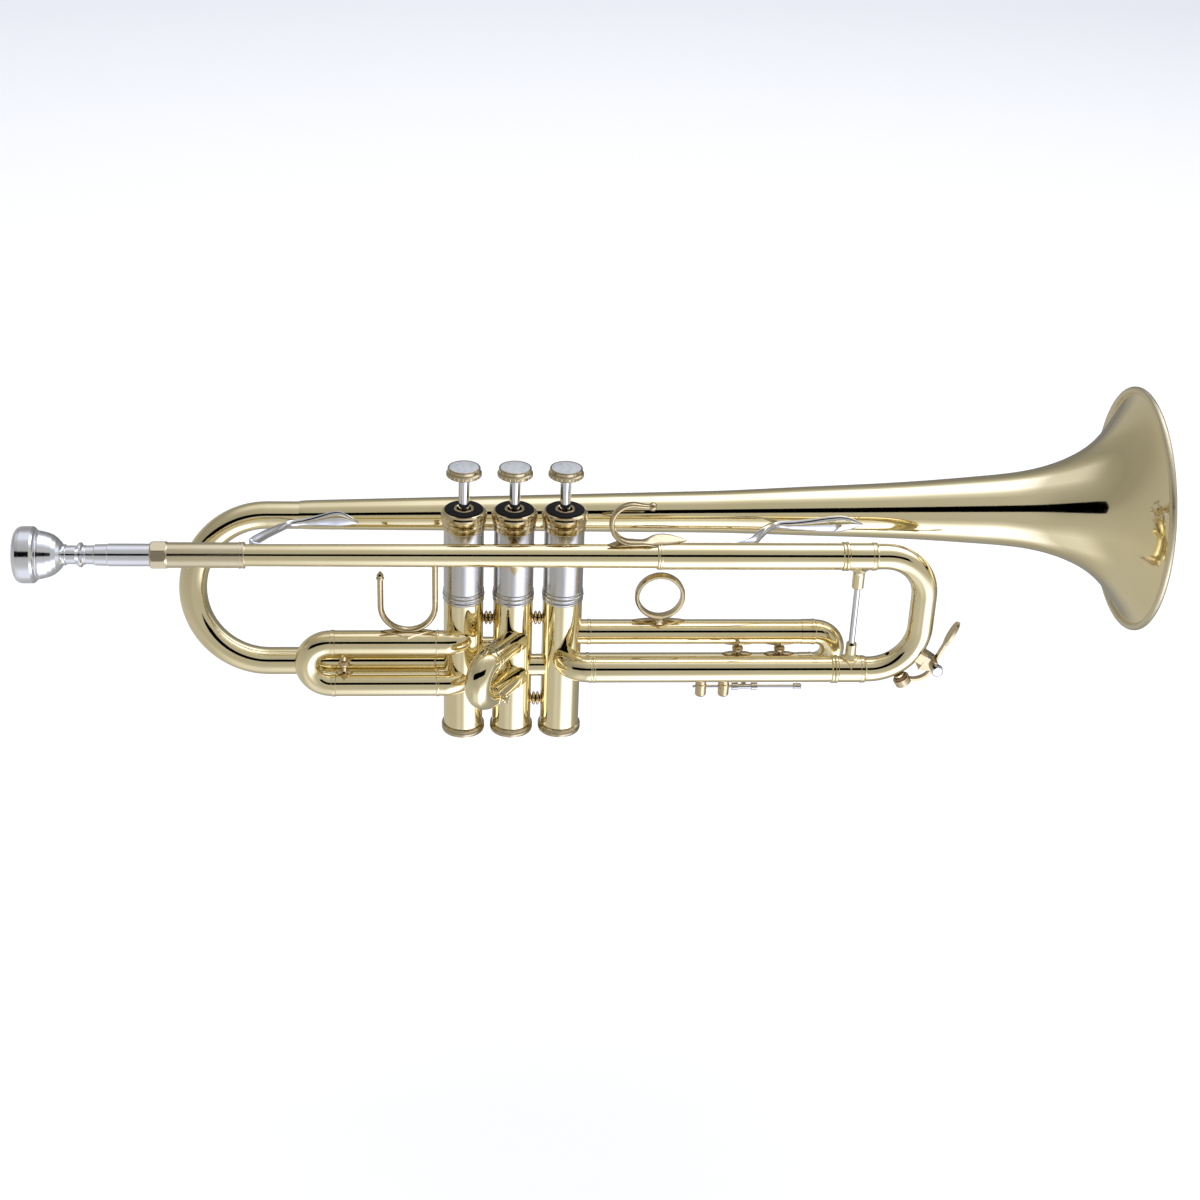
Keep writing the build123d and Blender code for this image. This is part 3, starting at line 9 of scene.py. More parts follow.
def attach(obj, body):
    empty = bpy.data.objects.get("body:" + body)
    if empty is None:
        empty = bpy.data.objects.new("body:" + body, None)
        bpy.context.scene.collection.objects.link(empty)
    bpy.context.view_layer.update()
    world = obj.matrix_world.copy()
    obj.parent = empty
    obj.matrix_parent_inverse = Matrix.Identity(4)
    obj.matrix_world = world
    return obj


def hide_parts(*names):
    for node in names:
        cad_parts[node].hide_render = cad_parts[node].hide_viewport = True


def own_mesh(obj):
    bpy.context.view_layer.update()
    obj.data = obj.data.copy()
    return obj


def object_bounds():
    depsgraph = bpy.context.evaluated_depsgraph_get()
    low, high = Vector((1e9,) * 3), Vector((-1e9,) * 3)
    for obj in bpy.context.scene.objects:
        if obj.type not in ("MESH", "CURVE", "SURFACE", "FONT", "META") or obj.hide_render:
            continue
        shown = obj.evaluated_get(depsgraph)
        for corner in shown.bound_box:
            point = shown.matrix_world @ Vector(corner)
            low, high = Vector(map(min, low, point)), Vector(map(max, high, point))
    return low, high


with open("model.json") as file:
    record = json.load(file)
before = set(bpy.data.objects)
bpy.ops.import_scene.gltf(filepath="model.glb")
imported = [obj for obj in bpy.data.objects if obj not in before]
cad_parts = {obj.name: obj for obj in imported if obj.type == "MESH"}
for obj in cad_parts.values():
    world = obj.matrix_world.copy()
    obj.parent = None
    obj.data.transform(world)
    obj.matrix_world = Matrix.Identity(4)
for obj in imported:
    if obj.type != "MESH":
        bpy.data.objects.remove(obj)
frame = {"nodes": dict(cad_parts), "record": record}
cad_low, cad_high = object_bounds()
nodes = frame["nodes"]
MM = 0.001


# ---- node helpers -----------------------------------------------------------------------------
class Graph:
    """Short calls for building a node tree."""

    def __init__(self, tree):
        self.tree = tree
        tree.nodes.clear()

    def node(self, kind, settings=None, **inputs):
        made = self.tree.nodes.new(kind)
        for name, value in (settings or {}).items():
            setattr(made, name, value)
        for name, value in inputs.items():
            self.feed(made, name.replace("_", " "), value)
        return made

    def feed(self, made, name, value):
        """Links or sets one input, found by name or by number."""
        socket = made.inputs[int(name)] if name.isdigit() else made.inputs[name]
        if isinstance(value, bpy.types.Node):
            value = value.outputs[0]
        if isinstance(value, bpy.types.NodeSocket):
            self.tree.links.new(value, socket)
        else:
            socket.default_value = value

    def math(self, operation, a, b=0.0, clamp=False):
        made = self.tree.nodes.new("ShaderNodeMath")
        made.operation = operation
        made.use_clamp = clamp
        self.feed(made, "0", a)
        self.feed(made, "1", b)
        return made.outputs[0]

    def ramp(self, factor, stops):
        made = self.tree.nodes.new("ShaderNodeValToRGB")
        made.color_ramp.elements.remove(made.color_ramp.elements[1])
        for index, (place, colour) in enumerate(stops):
            part = made.color_ramp.elements[0] if index == 0 else made.color_ramp.elements.new(place)
            part.position = place
            part.color = (*colour, 1) if isinstance(colour, tuple) else (colour, colour, colour, 1)
        self.feed(made, "Fac", factor)
        return made.outputs[0]

    def mix(self, factor, a, b, blend="MIX"):
        made = self.tree.nodes.new("ShaderNodeMix")
        made.data_type = "RGBA"
        made.blend_type = blend
        self.feed(made, "0", factor)
        self.feed(made, "6", (*a, 1) if isinstance(a, tuple) else a)
        self.feed(made, "7", (*b, 1) if isinstance(b, tuple) else b)
        return made.outputs[2]

    def noise(self, vector, scale, detail=3.0, roughness=0.5):
        made = self.node("ShaderNodeTexNoise", Vector=vector, Scale=scale, Detail=detail, Roughness=roughness)
        return made.outputs[0]

    def span(self, value, low, high, to_low=0.0, to_high=1.0, smooth=False):
        made = self.tree.nodes.new("ShaderNodeMapRange")
        made.interpolation_type = "SMOOTHSTEP" if smooth else "LINEAR"
        made.clamp = True
        for place, number in enumerate((value, low, high, to_low, to_high)):
            self.feed(made, str(place), number)
        return made.outputs[0]


def material(name):
    made = bpy.data.materials.new(name)
    made.use_nodes = True
    graph = Graph(made.node_tree)
    shader = graph.node("ShaderNodeBsdfPrincipled")
    output = graph.node("ShaderNodeOutputMaterial")
    graph.tree.links.new(shader.outputs[0], output.inputs[0])
    coordinates = graph.node("ShaderNodeTexCoord").outputs["Object"]
    return made, graph, shader, coordinates


# ---- materials ----------------------------------------------------------------------------------
def metal(name, light, dark, roughness, coat, grain_axis=None, bump=0.02, tarnish=None):
    """Polished or satin metal: slight colour clouds, fine polishing lines, and uneven gloss."""
    made, graph, shader, place = material(name)
    clouds = graph.noise(place, 28.0, 4.0)
    colour = graph.mix(graph.span(clouds, 0.35, 0.7), light, dark)
    if tarnish:
        spots = graph.noise(place, 420.0, 6.0, 0.65)
        colour = graph.mix(graph.span(spots, 0.52, 0.72, 0.0, 0.55), colour, tarnish)
    stretch = {None: (900, 900, 900), "X": (40, 1800, 1800), "Z": (1500, 1500, 60), "ring": (60, 60, 2600)}[grain_axis]
    mapped = graph.node("ShaderNodeMapping", Vector=place, Scale=stretch)
    grain = graph.noise(mapped, 1.0, 3.0, 0.6)
    smudges = graph.noise(place, 70.0, 5.0, 0.6)
    gloss = graph.span(smudges, 0.3, 0.75, roughness * 0.75, roughness * 1.5)
    gloss = graph.math("ADD", gloss, graph.span(grain, 0.4, 0.7, 0.0, roughness * 0.5))
    made_bump = graph.node("ShaderNodeBump", Strength=bump, Distance=0.0002, Height=grain)
    graph.feed(shader, "Base Color", colour)
    graph.feed(shader, "Metallic", 1.0)
    graph.feed(shader, "Roughness", gloss)
    graph.feed(shader, "Normal", made_bump)
    graph.feed(shader, "Coat Weight", coat)
    graph.feed(shader, "Coat Roughness", 0.03)
    return made


BRASS_LIGHT = (0.93, 0.815, 0.505)
BRASS_DARK = (0.89, 0.76, 0.435)
brass = metal("lacquered_brass", BRASS_LIGHT, BRASS_DARK, 0.05, 0.25)
brass_trim = metal("trim_brass", (0.74, 0.61, 0.36), (0.60, 0.475, 0.26), 0.11, 0.12, bump=0.05,
                   tarnish=(0.36, 0.27, 0.14))
nickel = metal("nickel_silver", (0.70, 0.68, 0.645), (0.62, 0.60, 0.565), 0.2, 0.08, "Z", 0.05)
receiver_brass = metal("satin_brass", (0.86, 0.755, 0.52), (0.80, 0.69, 0.455), 0.13, 0.1, "X", 0.05)
rim_brass = metal("rim_brass", (0.84, 0.75, 0.52), (0.78, 0.68, 0.45), 0.3, 0.1)
button_brass = metal("button_brass", (0.62, 0.52, 0.32), (0.50, 0.41, 0.24), 0.16, 0.1, tarnish=(0.34, 0.26, 0.14))
bright_silver = metal("bright_silver", (0.95, 0.955, 0.975), (0.90, 0.905, 0.93), 0.11, 0.1, None, 0.03)
silver = metal("silver_plate", (0.84, 0.845, 0.865), (0.76, 0.77, 0.80), 0.06, 0.0, None, 0.02)
spring_steel = metal("spring_steel", (0.55, 0.55, 0.57), (0.42, 0.42, 0.45), 0.25, 0.0, None, 0.05)


def felt_material():
    made, graph, shader, place = material("black_felt")
    fibre = graph.noise(place, 2600.0, 6.0, 0.7)
    tufts = graph.noise(place, 600.0, 4.0, 0.6)
    shade = graph.mix(graph.span(fibre, 0.3, 0.7), (0.002, 0.002, 0.002), (0.008, 0.008, 0.009))
    graph.feed(shader, "Base Color", shade)
    graph.feed(shader, "Roughness", 0.95)
    graph.feed(shader, "Sheen Weight", 0.01)
    graph.feed(shader, "Sheen Roughness", 0.6)
    height = graph.math("ADD", fibre, tufts)
    graph.feed(shader, "Normal", graph.node("ShaderNodeBump", Strength=0.5, Distance=0.0003, Height=height))
    return made


def pearl_material():
    made, graph, shader, place = material("mother_of_pearl")
    swirl = graph.node("ShaderNodeTexWave", {"wave_type": "BANDS"}, Vector=place, Scale=90.0, Distortion=9.0,
                       Detail=3.0, Detail_Scale=1.4).outputs[0]
    clouds = graph.noise(place, 260.0, 5.0, 0.6)
    tone = graph.ramp(clouds, [(0.3, (0.30, 0.33, 0.37)), (0.46, (0.38, 0.40, 0.41)), (0.58, (0.42, 0.41, 0.42)),
                               (0.72, (0.34, 0.37, 0.38))])
    graph.feed(shader, "Base Color", graph.mix(graph.span(swirl, 0.2, 0.8, 0.0, 0.35), tone, (0.46, 0.48, 0.51)))
    graph.feed(shader, "Roughness", 0.2)
    graph.feed(shader, "Coat Weight", 0.25)
    graph.feed(shader, "Coat Roughness", 0.05)
    graph.feed(shader, "Subsurface Weight", 0.1)
    graph.feed(shader, "Subsurface Radius", (0.001, 0.001, 0.001))
    return made


def cork_material():
    made, graph, shader, place = material("natural_cork")
    cells = graph.node("ShaderNodeTexVoronoi", Vector=place, Scale=2200.0).outputs["Distance"]
    flecks = graph.noise(place, 700.0, 5.0, 0.65)
    tone = graph.ramp(flecks, [(0.35, (0.16, 0.085, 0.04)), (0.5, (0.42, 0.27, 0.15)), (0.7, (0.56, 0.39, 0.23))])
    graph.feed(shader, "Base Color", graph.mix(graph.span(cells, 0.0, 0.5, 0.35, 0.0), tone, (0.12, 0.06, 0.03)))
    graph.feed(shader, "Roughness", 0.85)
    graph.feed(shader, "Normal", graph.node("ShaderNodeBump", Strength=0.6, Distance=0.0002, Height=cells))
    return made


def guide_material():
    made, graph, shader, place = material("guide_plastic")
    clouds = graph.noise(place, 300.0, 3.0)
    graph.feed(shader, "Base Color", graph.mix(graph.span(clouds, 0.3, 0.7), (0.86, 0.85, 0.8), (0.78, 0.77, 0.71)))
    graph.feed(shader, "Roughness", 0.45)
    return made


finishes = {
    "brass": brass, "brass_trim": brass_trim, "nickel": nickel, "silver": silver, "felt": felt_material(),
    "pearl": pearl_material(), "spring_steel": spring_steel, "guide_plastic": guide_material(),
    "cork": cork_material(),
}
for row in frame["record"]["subparts"]:
    piece = nodes[row["node"]]
    piece.data.materials.clear()
    piece.data.materials.append(finishes[row["material_slot"]])
    for polygon in piece.data.polygons:
        polygon.material_index = 0
nodes["mouthpiece"].data.materials[0] = bright_silver
nodes["mouthpiece_receiver"].data.materials[0] = receiver_brass
nodes["bell_rim_bead"].data.materials[0] = rim_brass
for name in ("button_1", "button_2", "button_3", "bottom_caps"):
    nodes[name].data.materials[0] = button_brass

# the slide's brace is a silver rod between two brass sockets
BRACE_SOCKET_LOW_Z, BRACE_SOCKET_HIGH_Z = -0.0474, -0.0171
brace = nodes["main_slide_brace"].data
brace.materials.append(silver)
for polygon in brace.polygons:
    if BRACE_SOCKET_LOW_Z < polygon.center.z < BRACE_SOCKET_HIGH_Z:
        polygon.material_index = 1

# ---- modelled pieces ----------------------------------------------------------------------------
LEAD_Y = -20.6
VALVES_X = (-24.26, 0.0, 24.26)
BELL_Y, BELL_RIM_Z, BELL_RIM_X, BELL_RISE = 22.9, 5.04, 312.8, 0.0122


def mesh_piece(name, rings, finish, closed=False):
    """Skins a run of equal rings of points (millimetres); open runs are capped with a fan at each end."""
    count = len(rings[0])
    points = [Vector(point) * MM for ring in rings for point in ring]
    faces = []
    last = len(rings) if closed else len(rings) - 1
    for row in range(last):
        a, b = row * count, ((row + 1) % len(rings)) * count
        for column in range(count):
            after = (column + 1) % count
            faces.append((a + column, a + after, b + after, b + column))
    if not closed:
        for row, order in ((0, -1), (len(rings) - 1, 1)):
            points.append(sum((points[row * count + k] for k in range(count)), Vector()) / count)
            for column in range(count):
                pair = (row * count + column, row * count + (column + 1) % count)
                faces.append((*pair[::order], len(points) - 1))
    data = bpy.data.meshes.new(name)
    data.from_pydata(points, [], faces)
    data.materials.append(finish)
    data.polygons.foreach_set("use_smooth", [True] * len(faces))
    data.set_sharp_from_angle(angle=radians(42))
    data.update()
    made = bpy.data.objects.new(name, data)
    bpy.context.scene.collection.objects.link(made)
    return made


def curve_through(values, share):
    """Catmull-Rom through a list of vectors; share runs from 0 to 1 over the whole list."""
    spot = min(share, 0.999999) * (len(values) - 1)
    index = int(spot)
    t = spot - index
    p1, p2 = values[index], values[index + 1]
    p0 = values[index - 1] if index else p1 * 2 - p2
    p3 = values[index + 2] if index + 2 < len(values) else p2 * 2 - p1
    square, cube = p0 * 2 - p1 * 5 + p2 * 4 - p3, p1 * 3 - p0 - p2 * 3 + p3
    return (p1 * 2 + (p2 - p0) * t + square * t ** 2 + cube * t ** 3) * 0.5


def strap(name, stations, finish, steps=90, square=2.6):
    """A forged strap. Each station: its centre, the direction of its width, half width, half thickness."""
    centres = [Vector(station[0]) for station in stations]
    sides = [Vector(station[1]).normalized() for station in stations]
    sizes = [Vector((station[2], station[3], 0)) for station in stations]
    rings = []
    for step in range(steps + 1):
        share = step / steps
        centre = curve_through(centres, share)
        ahead = curve_through(centres, min(share + 0.004, 1.0)) - curve_through(centres, max(share - 0.004, 0.0))
        side = curve_through(sides, share).normalized()
        up = ahead.cross(side).normalized()
        half_width, half_height = max(curve_through(sizes, share).x, 0.12), max(curve_through(sizes, share).y, 0.1)
        ring = []
        for corner in range(28):
            angle = 2 * pi * corner / 28
            across = abs(cos(angle)) ** (2 / square) * (1 if cos(angle) >= 0 else -1)
            lift = abs(sin(angle)) ** (2 / square) * (1 if sin(angle) >= 0 else -1)
            ring.append(centre + side * (half_width * across) + up * (half_height * lift))
        rings.append(ring)
    return mesh_piece(name, rings, finish)


def circles(start, along, first, outline, segments):
    """Rings of points round an axis; outline is (distance along, radius)."""
    second = along.cross(first)
    rings = []
    for distance, radius in outline:
        centre = Vector(start) + along * distance
        rings.append([centre + (first * cos(2 * pi * k / segments) + second * sin(2 * pi * k / segments)) * radius
                      for k in range(segments)])
    return rings


def turned_piece(name, start, along, outline, finish, segments=72):
    """A turned piece whose outline starts and ends on its axis."""
    along = Vector(along).normalized()
    outline = [(distance, max(radius, 0.01)) for distance, radius in outline]
    return mesh_piece(name, circles(start, along, along.orthogonal().normalized(), outline, segments), finish)


def hollow_piece(name, start, along, outline, finish, segments=160):
    """A turned piece whose outline is a closed loop of (distance along, radius)."""
    along = Vector(along).normalized()
    first = Vector((0, 0, 1)).cross(along) if abs(along.z) < 0.9 else Vector((1, 0, 0)).cross(along)
    first.normalize()
    return mesh_piece(name, circles(start, along, first, outline, segments), finish, closed=True)


def spline(points, first_slope, last_slope, samples):
    """A clamped cubic spline through 2-D points; returns points and unit slopes."""
    points = np.array(points, float)
    h = np.linalg.norm(np.diff(points, axis=0), axis=1)
    count = len(points)
    matrix, right_side = np.eye(count), np.zeros((count, 2))
    right_side[0] = np.array(first_slope) / np.linalg.norm(first_slope)
    right_side[-1] = np.array(last_slope) / np.linalg.norm(last_slope)
    for k in range(1, count - 1):
        matrix[k, k - 1:k + 2] = 1 / h[k - 1], 2 / h[k - 1] + 2 / h[k], 1 / h[k]
        right_side[k] = 3 * ((points[k] - points[k - 1]) / h[k - 1] ** 2 + (points[k + 1] - points[k]) / h[k] ** 2)
    slopes = np.linalg.solve(matrix, right_side)
    out = []
    for k in range(count - 1):
        for step in range(samples + (k == count - 2)):
            t = step / samples
            a, b, c, d = 2 * t ** 3 - 3 * t ** 2 + 1, t ** 3 - 2 * t ** 2 + t, 3 * t ** 2 - 2 * t ** 3, t ** 3 - t ** 2
            spot = points[k] * a + slopes[k] * (b * h[k]) + points[k + 1] * c + slopes[k + 1] * (d * h[k])
            slope = ((points[k + 1] - points[k]) * (6 * t - 6 * t * t) + slopes[k] * (h[k] * (3 * t * t - 4 * t + 1))
                     + slopes[k + 1] * (h[k] * (3 * t * t - 2 * t)))
            out.append((spot, slope / np.linalg.norm(slope)))
    return out


def swap(made, node, body):
    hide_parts(node)
    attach(made, body)


# the bell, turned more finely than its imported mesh
flare = spline([(93, 10.25), (143, 12.05), (193, 14.1), (233, 16.9), (263, 20.9), (279, 26.3), (289.5, 32.2),
                (297.5, 39.2), (305, 48.5), (310.9, 58.4)], (1, 0.017), (0.42, 0.91), 14)
TAIL_X, TAIL_LENGTH, TAIL_R, TAIL_GROWTH, TAIL_STEPS = -104.0, 197.0, 7.1, 3.15, 30
WALL = 0.7
tail = [(TAIL_X + TAIL_LENGTH * k / TAIL_STEPS, TAIL_R + TAIL_GROWTH * k / TAIL_STEPS) for k in range(TAIL_STEPS)]
outer_wall = [(TAIL_X, 6.85), (TAIL_X + 1.5, 7.0)] + tail[1:] + [tuple(spot) for spot, slope in flare]
inner_wall = [(x, radius - WALL) for x, radius in tail]
inner_wall += [(spot[0] + slope[1] * WALL, spot[1] - slope[0] * WALL) for spot, slope in flare]
bell = hollow_piece("bell_wall", (0, BELL_Y, BELL_RIM_Z - BELL_RISE * BELL_RIM_X), (1, 0, BELL_RISE),
                    outer_wall + inner_wall[::-1], brass, 288)
swap(bell, "bell", "body")

# the nickel casings with their beaded joint rings
casing_outline = [
    (-34.0, 8.45), (-34.0, 9.8), (-33.8, 9.95), (-33.5, 10.05), (-33.0, 10.1), (-32.6, 10.05), (-32.35, 9.85),
    (-32.2, 9.8), (-31.9, 9.8), (-31.75, 10.0), (-31.4, 10.2), (-30.8, 10.28), (-30.2, 10.2), (-29.9, 10.0),
    (-29.75, 9.8), (-29.4, 9.8), (-29.25, 9.85), (-29.05, 9.98), (-28.7, 10.02), (-28.35, 9.98), (-28.1, 9.8),
    (-28.0, 9.7), (4.8, 9.7), (4.8, 8.45)]
for number, valve_x in enumerate(VALVES_X, start=1):
    swap(hollow_piece(f"nickel_casing_{number}", (valve_x, 0, 0), (0, 0, 1), casing_outline, nickel), "casings_upper",
         "body")

# valve springs, each a coil of wire of one fixed length round its valve
TURNS, TURN_STEPS, WIRE_STEPS = 9, 28, 12
SPRING_LOW_Z, SPRING_HIGH_Z, COIL_R, WIRE_R = -23.2, 5.9, 5.2, 0.45
for number, valve_x in enumerate(VALVES_X, start=1):
    rings = []
    for step in range(TURNS * TURN_STEPS + 1):
        angle = 2 * pi * step / TURN_STEPS
        outward = Vector((cos(angle), sin(angle), 0))
        coil_z = SPRING_LOW_Z + (SPRING_HIGH_Z - SPRING_LOW_Z) * step / (TURNS * TURN_STEPS)
        centre = Vector((valve_x, 0, coil_z)) + outward * COIL_R
        ring = []
        for k in range(WIRE_STEPS):
            turn_round = 2 * pi * k / WIRE_STEPS
            ring.append(centre + (outward * cos(turn_round) + Vector((0, 0, sin(turn_round)))) * WIRE_R)
        rings.append(ring)
    coil = mesh_piece(f"coil_{number}", rings, spring_steel)
    swap(coil, f"valve_spring_{number}", "body")
    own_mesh(coil)


def on_bell(x, z, tube_r, lift):
    """A point just off the near side of the bell's tube."""
    axis_z = BELL_RIM_Z + BELL_RISE * (x - BELL_RIM_X)
    reach = max((tube_r + lift) ** 2 - (z - axis_z) ** 2, 0.0) ** 0.5
    return Vector((x, BELL_Y - reach, z))


def on_lead(x, z, tube_r, lift):
    """A point just off the far side of the leadpipe."""
    return Vector((x, LEAD_Y + ((tube_r + lift) ** 2 - z ** 2) ** 0.5, z))


upright = (0.1, 0.05, 1.0)
facing = (-0.56, 0.36, 0.75)
front_brace = strap("front_brace", [
    (on_lead(87, 0.0, 6.45, 0.2), upright, 0.2, 0.2),
    (on_lead(92, 0.1, 6.45, 0.5), upright, 2.2, 0.55),
    (on_lead(100, 0.4, 6.45, 0.7), upright, 3.2, 0.8),
    (on_lead(107, 1.0, 6.45, 1.1), (-0.2, 0.1, 1.0), 2.8, 1.2),
    ((113.6, -12.0, 2.9), facing, 2.3, 1.35),
    ((118.9, -4.0, 3.3), facing, 2.1, 1.35),
    ((124.0, 4.6, 2.6), facing, 1.95, 1.3),
    (on_bell(129.6, 1.4, 11.6, 1.15), (-0.25, 0.1, 1.0), 2.0, 1.25),
    (on_bell(137, 1.2, 11.85, 0.9), upright, 2.4, 1.05),
    (on_bell(145, 1.5, 12.1, 0.85), upright, 3.1, 1.05),
    (on_bell(153, 2.0, 12.45, 0.8), upright, 3.9, 1.0),
    (on_bell(160, 2.4, 12.75, 0.75), upright, 4.2, 0.95),
    (on_bell(166, 2.5, 13.0, 0.55), upright, 2.9, 0.7),
    (on_bell(171.8, 2.2, 13.25, 0.2), upright, 0.2, 0.25),
], silver, square=1.7)
swap(front_brace, "bell_brace_front", "body")
rear_brace = strap("rear_brace", [
    (on_lead(-98, 0.0, 5.35, 0.2), upright, 0.2, 0.2),
    (on_lead(-104, 0.0, 5.33, 0.45), upright, 2.0, 0.5),
    (on_lead(-112, 0.2, 5.31, 0.6), upright, 2.6, 0.7),
    (on_lead(-119, 0.5, 5.29, 0.9), upright, 2.3, 1.0),
    ((-124.0, -13.4, 2.4), facing, 2.3, 1.25),
    ((-119.8, -5.0, 2.2), facing, 2.2, 1.3),
    ((-114.0, 4.6, 1.0), facing, 2.0, 1.3),
    ((-109.0, 13.2, -0.5), (-0.35, 0.2, 0.95), 1.9, 1.25),
    (on_bell(-102.5, -0.3, 7.15, 1.0), upright, 2.0, 1.05),
    (on_bell(-95, 0.8, 7.4, 0.9), upright, 2.9, 1.0),
    (on_bell(-88.5, 1.7, 7.6, 0.8), upright, 3.9, 0.95),
    (on_bell(-84, 1.8, 7.75, 0.75), upright, 3.9, 0.85),
    (on_bell(-79.5, 0.8, 7.9, 0.5), upright, 2.3, 0.6),
    (on_bell(-75.2, -0.6, 8.0, 0.2), upright, 0.2, 0.25),
], silver, square=1.7)
swap(rear_brace, "bell_brace_rear", "body")

# finger hook: one strap from its leaf, along the leadpipe and round the curl to a ball
across = (0, 1, 0)
tilted = (0, 0.88, 0.42)
CURL_X, CURL_Z, CURL_R = 55.2, 17.1, 10.0
curl = []
for degrees in range(-90, -286, -15):
    reach = radians(degrees)
    thinning = (-90 - degrees) / 195
    curl.append(((CURL_X + CURL_R * cos(reach), LEAD_Y, CURL_Z + CURL_R * sin(reach)), across,
                 2.8 - 1.0 * thinning, 1.45 - 0.4 * thinning))
hook_strap = strap("hook_strap", [
    ((81.5, LEAD_Y + 2, 7.3), tilted, 0.25, 0.25), ((77.5, LEAD_Y + 2, 7.5), tilted, 2.0, 0.6),
    ((71.5, LEAD_Y + 2, 7.6), tilted, 3.6, 0.9), ((66.0, LEAD_Y + 1.4, 7.4), tilted, 3.6, 1.1),
    ((60.5, LEAD_Y, 7.1), across, 2.6, 1.3),
    *curl, ((60.6, LEAD_Y, 26.3), across, 1.5, 0.95), ((63.6, LEAD_Y, 26.0), across, 1.1, 0.9)], brass_trim, steps=150)
swap(hook_strap, "finger_hook", "body")
hook_tail = strap("hook_tail", [
    ((43.6, LEAD_Y, 6.0), across, 0.25, 0.2), ((47.0, LEAD_Y, 6.15), across, 2.6, 0.5),
    ((50.5, LEAD_Y, 6.6), across, 3.0, 0.8), ((55.0, LEAD_Y, 6.9), across, 2.7, 0.9)], brass_trim, steps=30)
BALL_R = 2.1
hook_ball = turned_piece("hook_ball", (64.2, LEAD_Y, 26.0), (1, 0, -0.1),
                         [(-BALL_R * cos(pi * k / 20), BALL_R * sin(pi * k / 20)) for k in range(21)], brass_trim, 40)
for extra in (hook_tail, hook_ball):
    swap(extra, "finger_hook", "body")

# ---- floor, light and camera ----------------------------------------------------------------------
FLOOR_DROP = 0.25
floor_mesh = bpy.data.meshes.new("studio_floor")
FLOOR_HALF = 12.0
floor_z = cad_low.z - FLOOR_DROP
floor_mesh.from_pydata([(x * FLOOR_HALF, y * FLOOR_HALF, floor_z) for x, y in ((-1, -1), (1, -1), (1, 1), (-1, 1))],
                       [], [(0, 1, 2, 3)])
floor = bpy.data.objects.new("studio_floor", floor_mesh)
bpy.context.scene.collection.objects.link(floor)
floor_finish, floor_graph, floor_shader, floor_place = material("pale_floor")
floor_graph.feed(floor_shader, "Base Color", (0.86, 0.86, 0.86, 1))
floor_graph.feed(floor_shader, "Roughness", 0.9)
floor_graph.feed(floor_shader, "Specular IOR Level", 0.0)
floor_mesh.materials.append(floor_finish)
floor.visible_glossy = False

world = bpy.data.worlds.new("studio")
world.use_nodes = True
bpy.context.scene.world = world
sky = Graph(world.node_tree)
direction = sky.node("ShaderNodeTexCoord").outputs["Generated"]
parts = sky.node("ShaderNodeSeparateXYZ", Vector=direction)
towards_camera = sky.math("MULTIPLY", parts.outputs[1], -1.0)
round_angle = sky.math("ARCTAN2", parts.outputs[2], towards_camera)
share = sky.span(round_angle, -pi, pi)


def turn(degrees):
    """Where an angle round the X axis, from the camera side up, falls along the ramp."""
    return (degrees + 180.0) / 360.0


def band(*steps, place=share):
    """A brightness that follows the angle round the X axis; steps are (degrees, brightness)."""
    return sky.ramp(place, [(turn(degrees), level) for degrees, level in steps])


walls = band((-180, 0.21), (-158, 0.23), (-120, 0.34), (-96, 0.42), (-60, 0.45), (-20, 0.48), (0, 0.5),
             (44, 0.48), (70, 0.5), (100, 0.52), (125, 0.5), (144, 0.36), (158, 0.25), (179, 0.21))
side = parts.outputs[0]
# the lower lamp reaches higher on the bell's side of the studio
lean = sky.math("MULTIPLY", sky.span(side, 0.04, 0.3, 0.0, 13.0 / 360.0), sky.math("LESS_THAN", round_angle, 0.0))
lean_share = sky.math("SUBTRACT", share, lean)
lamps = band((-104, 0.0), (-93, 0.13), (-84, 0.45), (-75, 1.0), (-44, 1.0), (-36, 0.6), (-27, 0.2), (-15, 0.0),
             (66, 0.0), (80, 0.2), (88, 0.55), (94, 1.0), (122, 1.0), (128, 0.5), (134, 0.16), (144, 0.0),
             place=lean_share)
# the lamps fade towards the bell's flare, where only a faint part of them is left
lamp_reach = sky.math("MAXIMUM", sky.span(side, -0.22, 0.2, smooth=True),
                      sky.span(side, -0.66, -0.3, 0.0, 0.22, smooth=True))
lamp_side = sky.math("MULTIPLY", lamp_reach, sky.span(side, 0.95, 0.66, 0.25, 1.0, smooth=True))
height_share = sky.span(parts.outputs[2], -1.0, 1.0)
left_wall = sky.ramp(height_share, [(0.0, 0.5), (0.27, 0.54), (0.42, 0.47), (0.5, 0.45), (0.58, 0.42), (0.66, 0.34),
                                    (0.76, 0.31), (0.86, 0.36), (1.0, 0.46)])
walls = sky.node("ShaderNodeMix", {"data_type": "FLOAT"}, **{
    "0": sky.span(side, -0.02, -0.3), "2": walls, "3": left_wall})
lamp_light = sky.math("MULTIPLY", sky.math("MULTIPLY", lamps, lamp_side), 1.5)
level = sky.math("ADD", walls.outputs[0], lamp_light)
lamp_tint = sky.mix(sky.span(lamp_light, 0.0, 0.8), (1.0, 1.0, 1.0), (0.93, 0.98, 1.22))
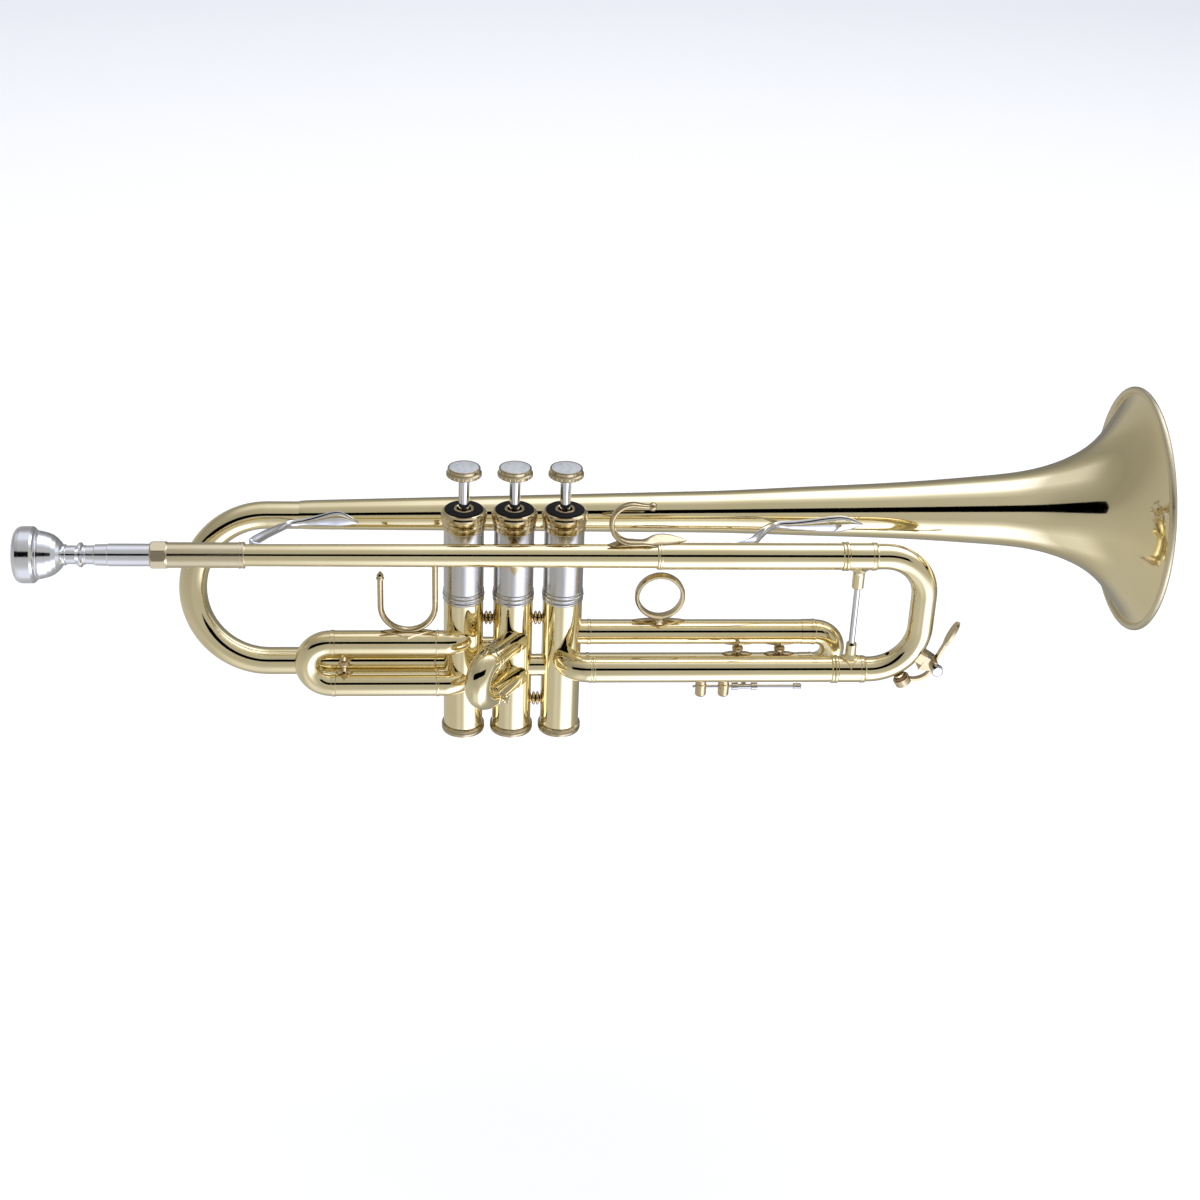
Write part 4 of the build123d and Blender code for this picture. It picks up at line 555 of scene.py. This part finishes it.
# a dark gap between the lamps, wider towards its rounded end
flare_out = sky.span(side, -0.1, -0.68, 0.0, radians(3.5))
gap_place = sky.math("ABSOLUTE", sky.math("SUBTRACT", round_angle, radians(28.5)))
rounded_end = sky.math("POWER", sky.span(side, -0.735, -0.785), 2.0)
gap_place = sky.math("SUBTRACT", gap_place, flare_out)
gap_place = sky.math("ADD", gap_place, sky.math("MULTIPLY", rounded_end, radians(15)))
gap = sky.span(gap_place, radians(10.8), radians(9.8))
gap = sky.math("MULTIPLY", gap, sky.span(side, -0.79, -0.78))
gap = sky.math("MULTIPLY", gap, sky.span(side, 0.66, 0.62))
level = sky.math("MULTIPLY", level, sky.math("SUBTRACT", 1.0, gap))
sky_colour = sky.mix(1.0, level, lamp_tint, "MULTIPLY")
background = sky.node("ShaderNodeBackground", Color=sky_colour, Strength=1.0)
sky.tree.links.new(background.outputs[0], sky.node("ShaderNodeOutputWorld").inputs[0])


def area_light(name, place, target, size, power):
    data = bpy.data.lights.new(name, "AREA")
    data.shape = "RECTANGLE"
    data.size, data.size_y = size
    data.energy = power
    lamp = bpy.data.objects.new(name, data)
    bpy.context.scene.collection.objects.link(lamp)
    lamp.location = place
    lamp.rotation_euler = (Vector(target) - Vector(place)).to_track_quat("-Z", "Y").to_euler()
    lamp.visible_glossy = False
    lamp.visible_camera = False


area_light("overhead_softbox", (0.3, 0.2, 2.6), (0.05, 0, 0), (4.0, 4.0), 90)

camera_data = bpy.data.cameras.new("camera")
camera = bpy.data.objects.new("camera", camera_data)
bpy.context.scene.collection.objects.link(camera)
bpy.context.scene.camera = camera
CAMERA_PLACE = (-0.03145, -0.88138, 0.44086)
YAW, PITCH, ROLL = 0.0840, 0.4935, 0.0404
forward = Vector((sin(YAW) * cos(PITCH), cos(YAW) * cos(PITCH), -sin(PITCH)))
level_right = forward.cross(Vector((0, 0, 1))).normalized()
level_up = level_right.cross(forward)
right = level_right * cos(ROLL) + level_up * sin(ROLL)
up = level_up * cos(ROLL) - level_right * sin(ROLL)
camera.matrix_world = Matrix.Translation(CAMERA_PLACE) @ Matrix((right, up, -forward)).transposed().to_4x4()
camera_data.sensor_width = 36.0
camera_data.lens = 61.23
camera_data.clip_start = 0.05
camera_data.clip_end = 60

bpy.context.scene.view_settings.view_transform = "Standard"
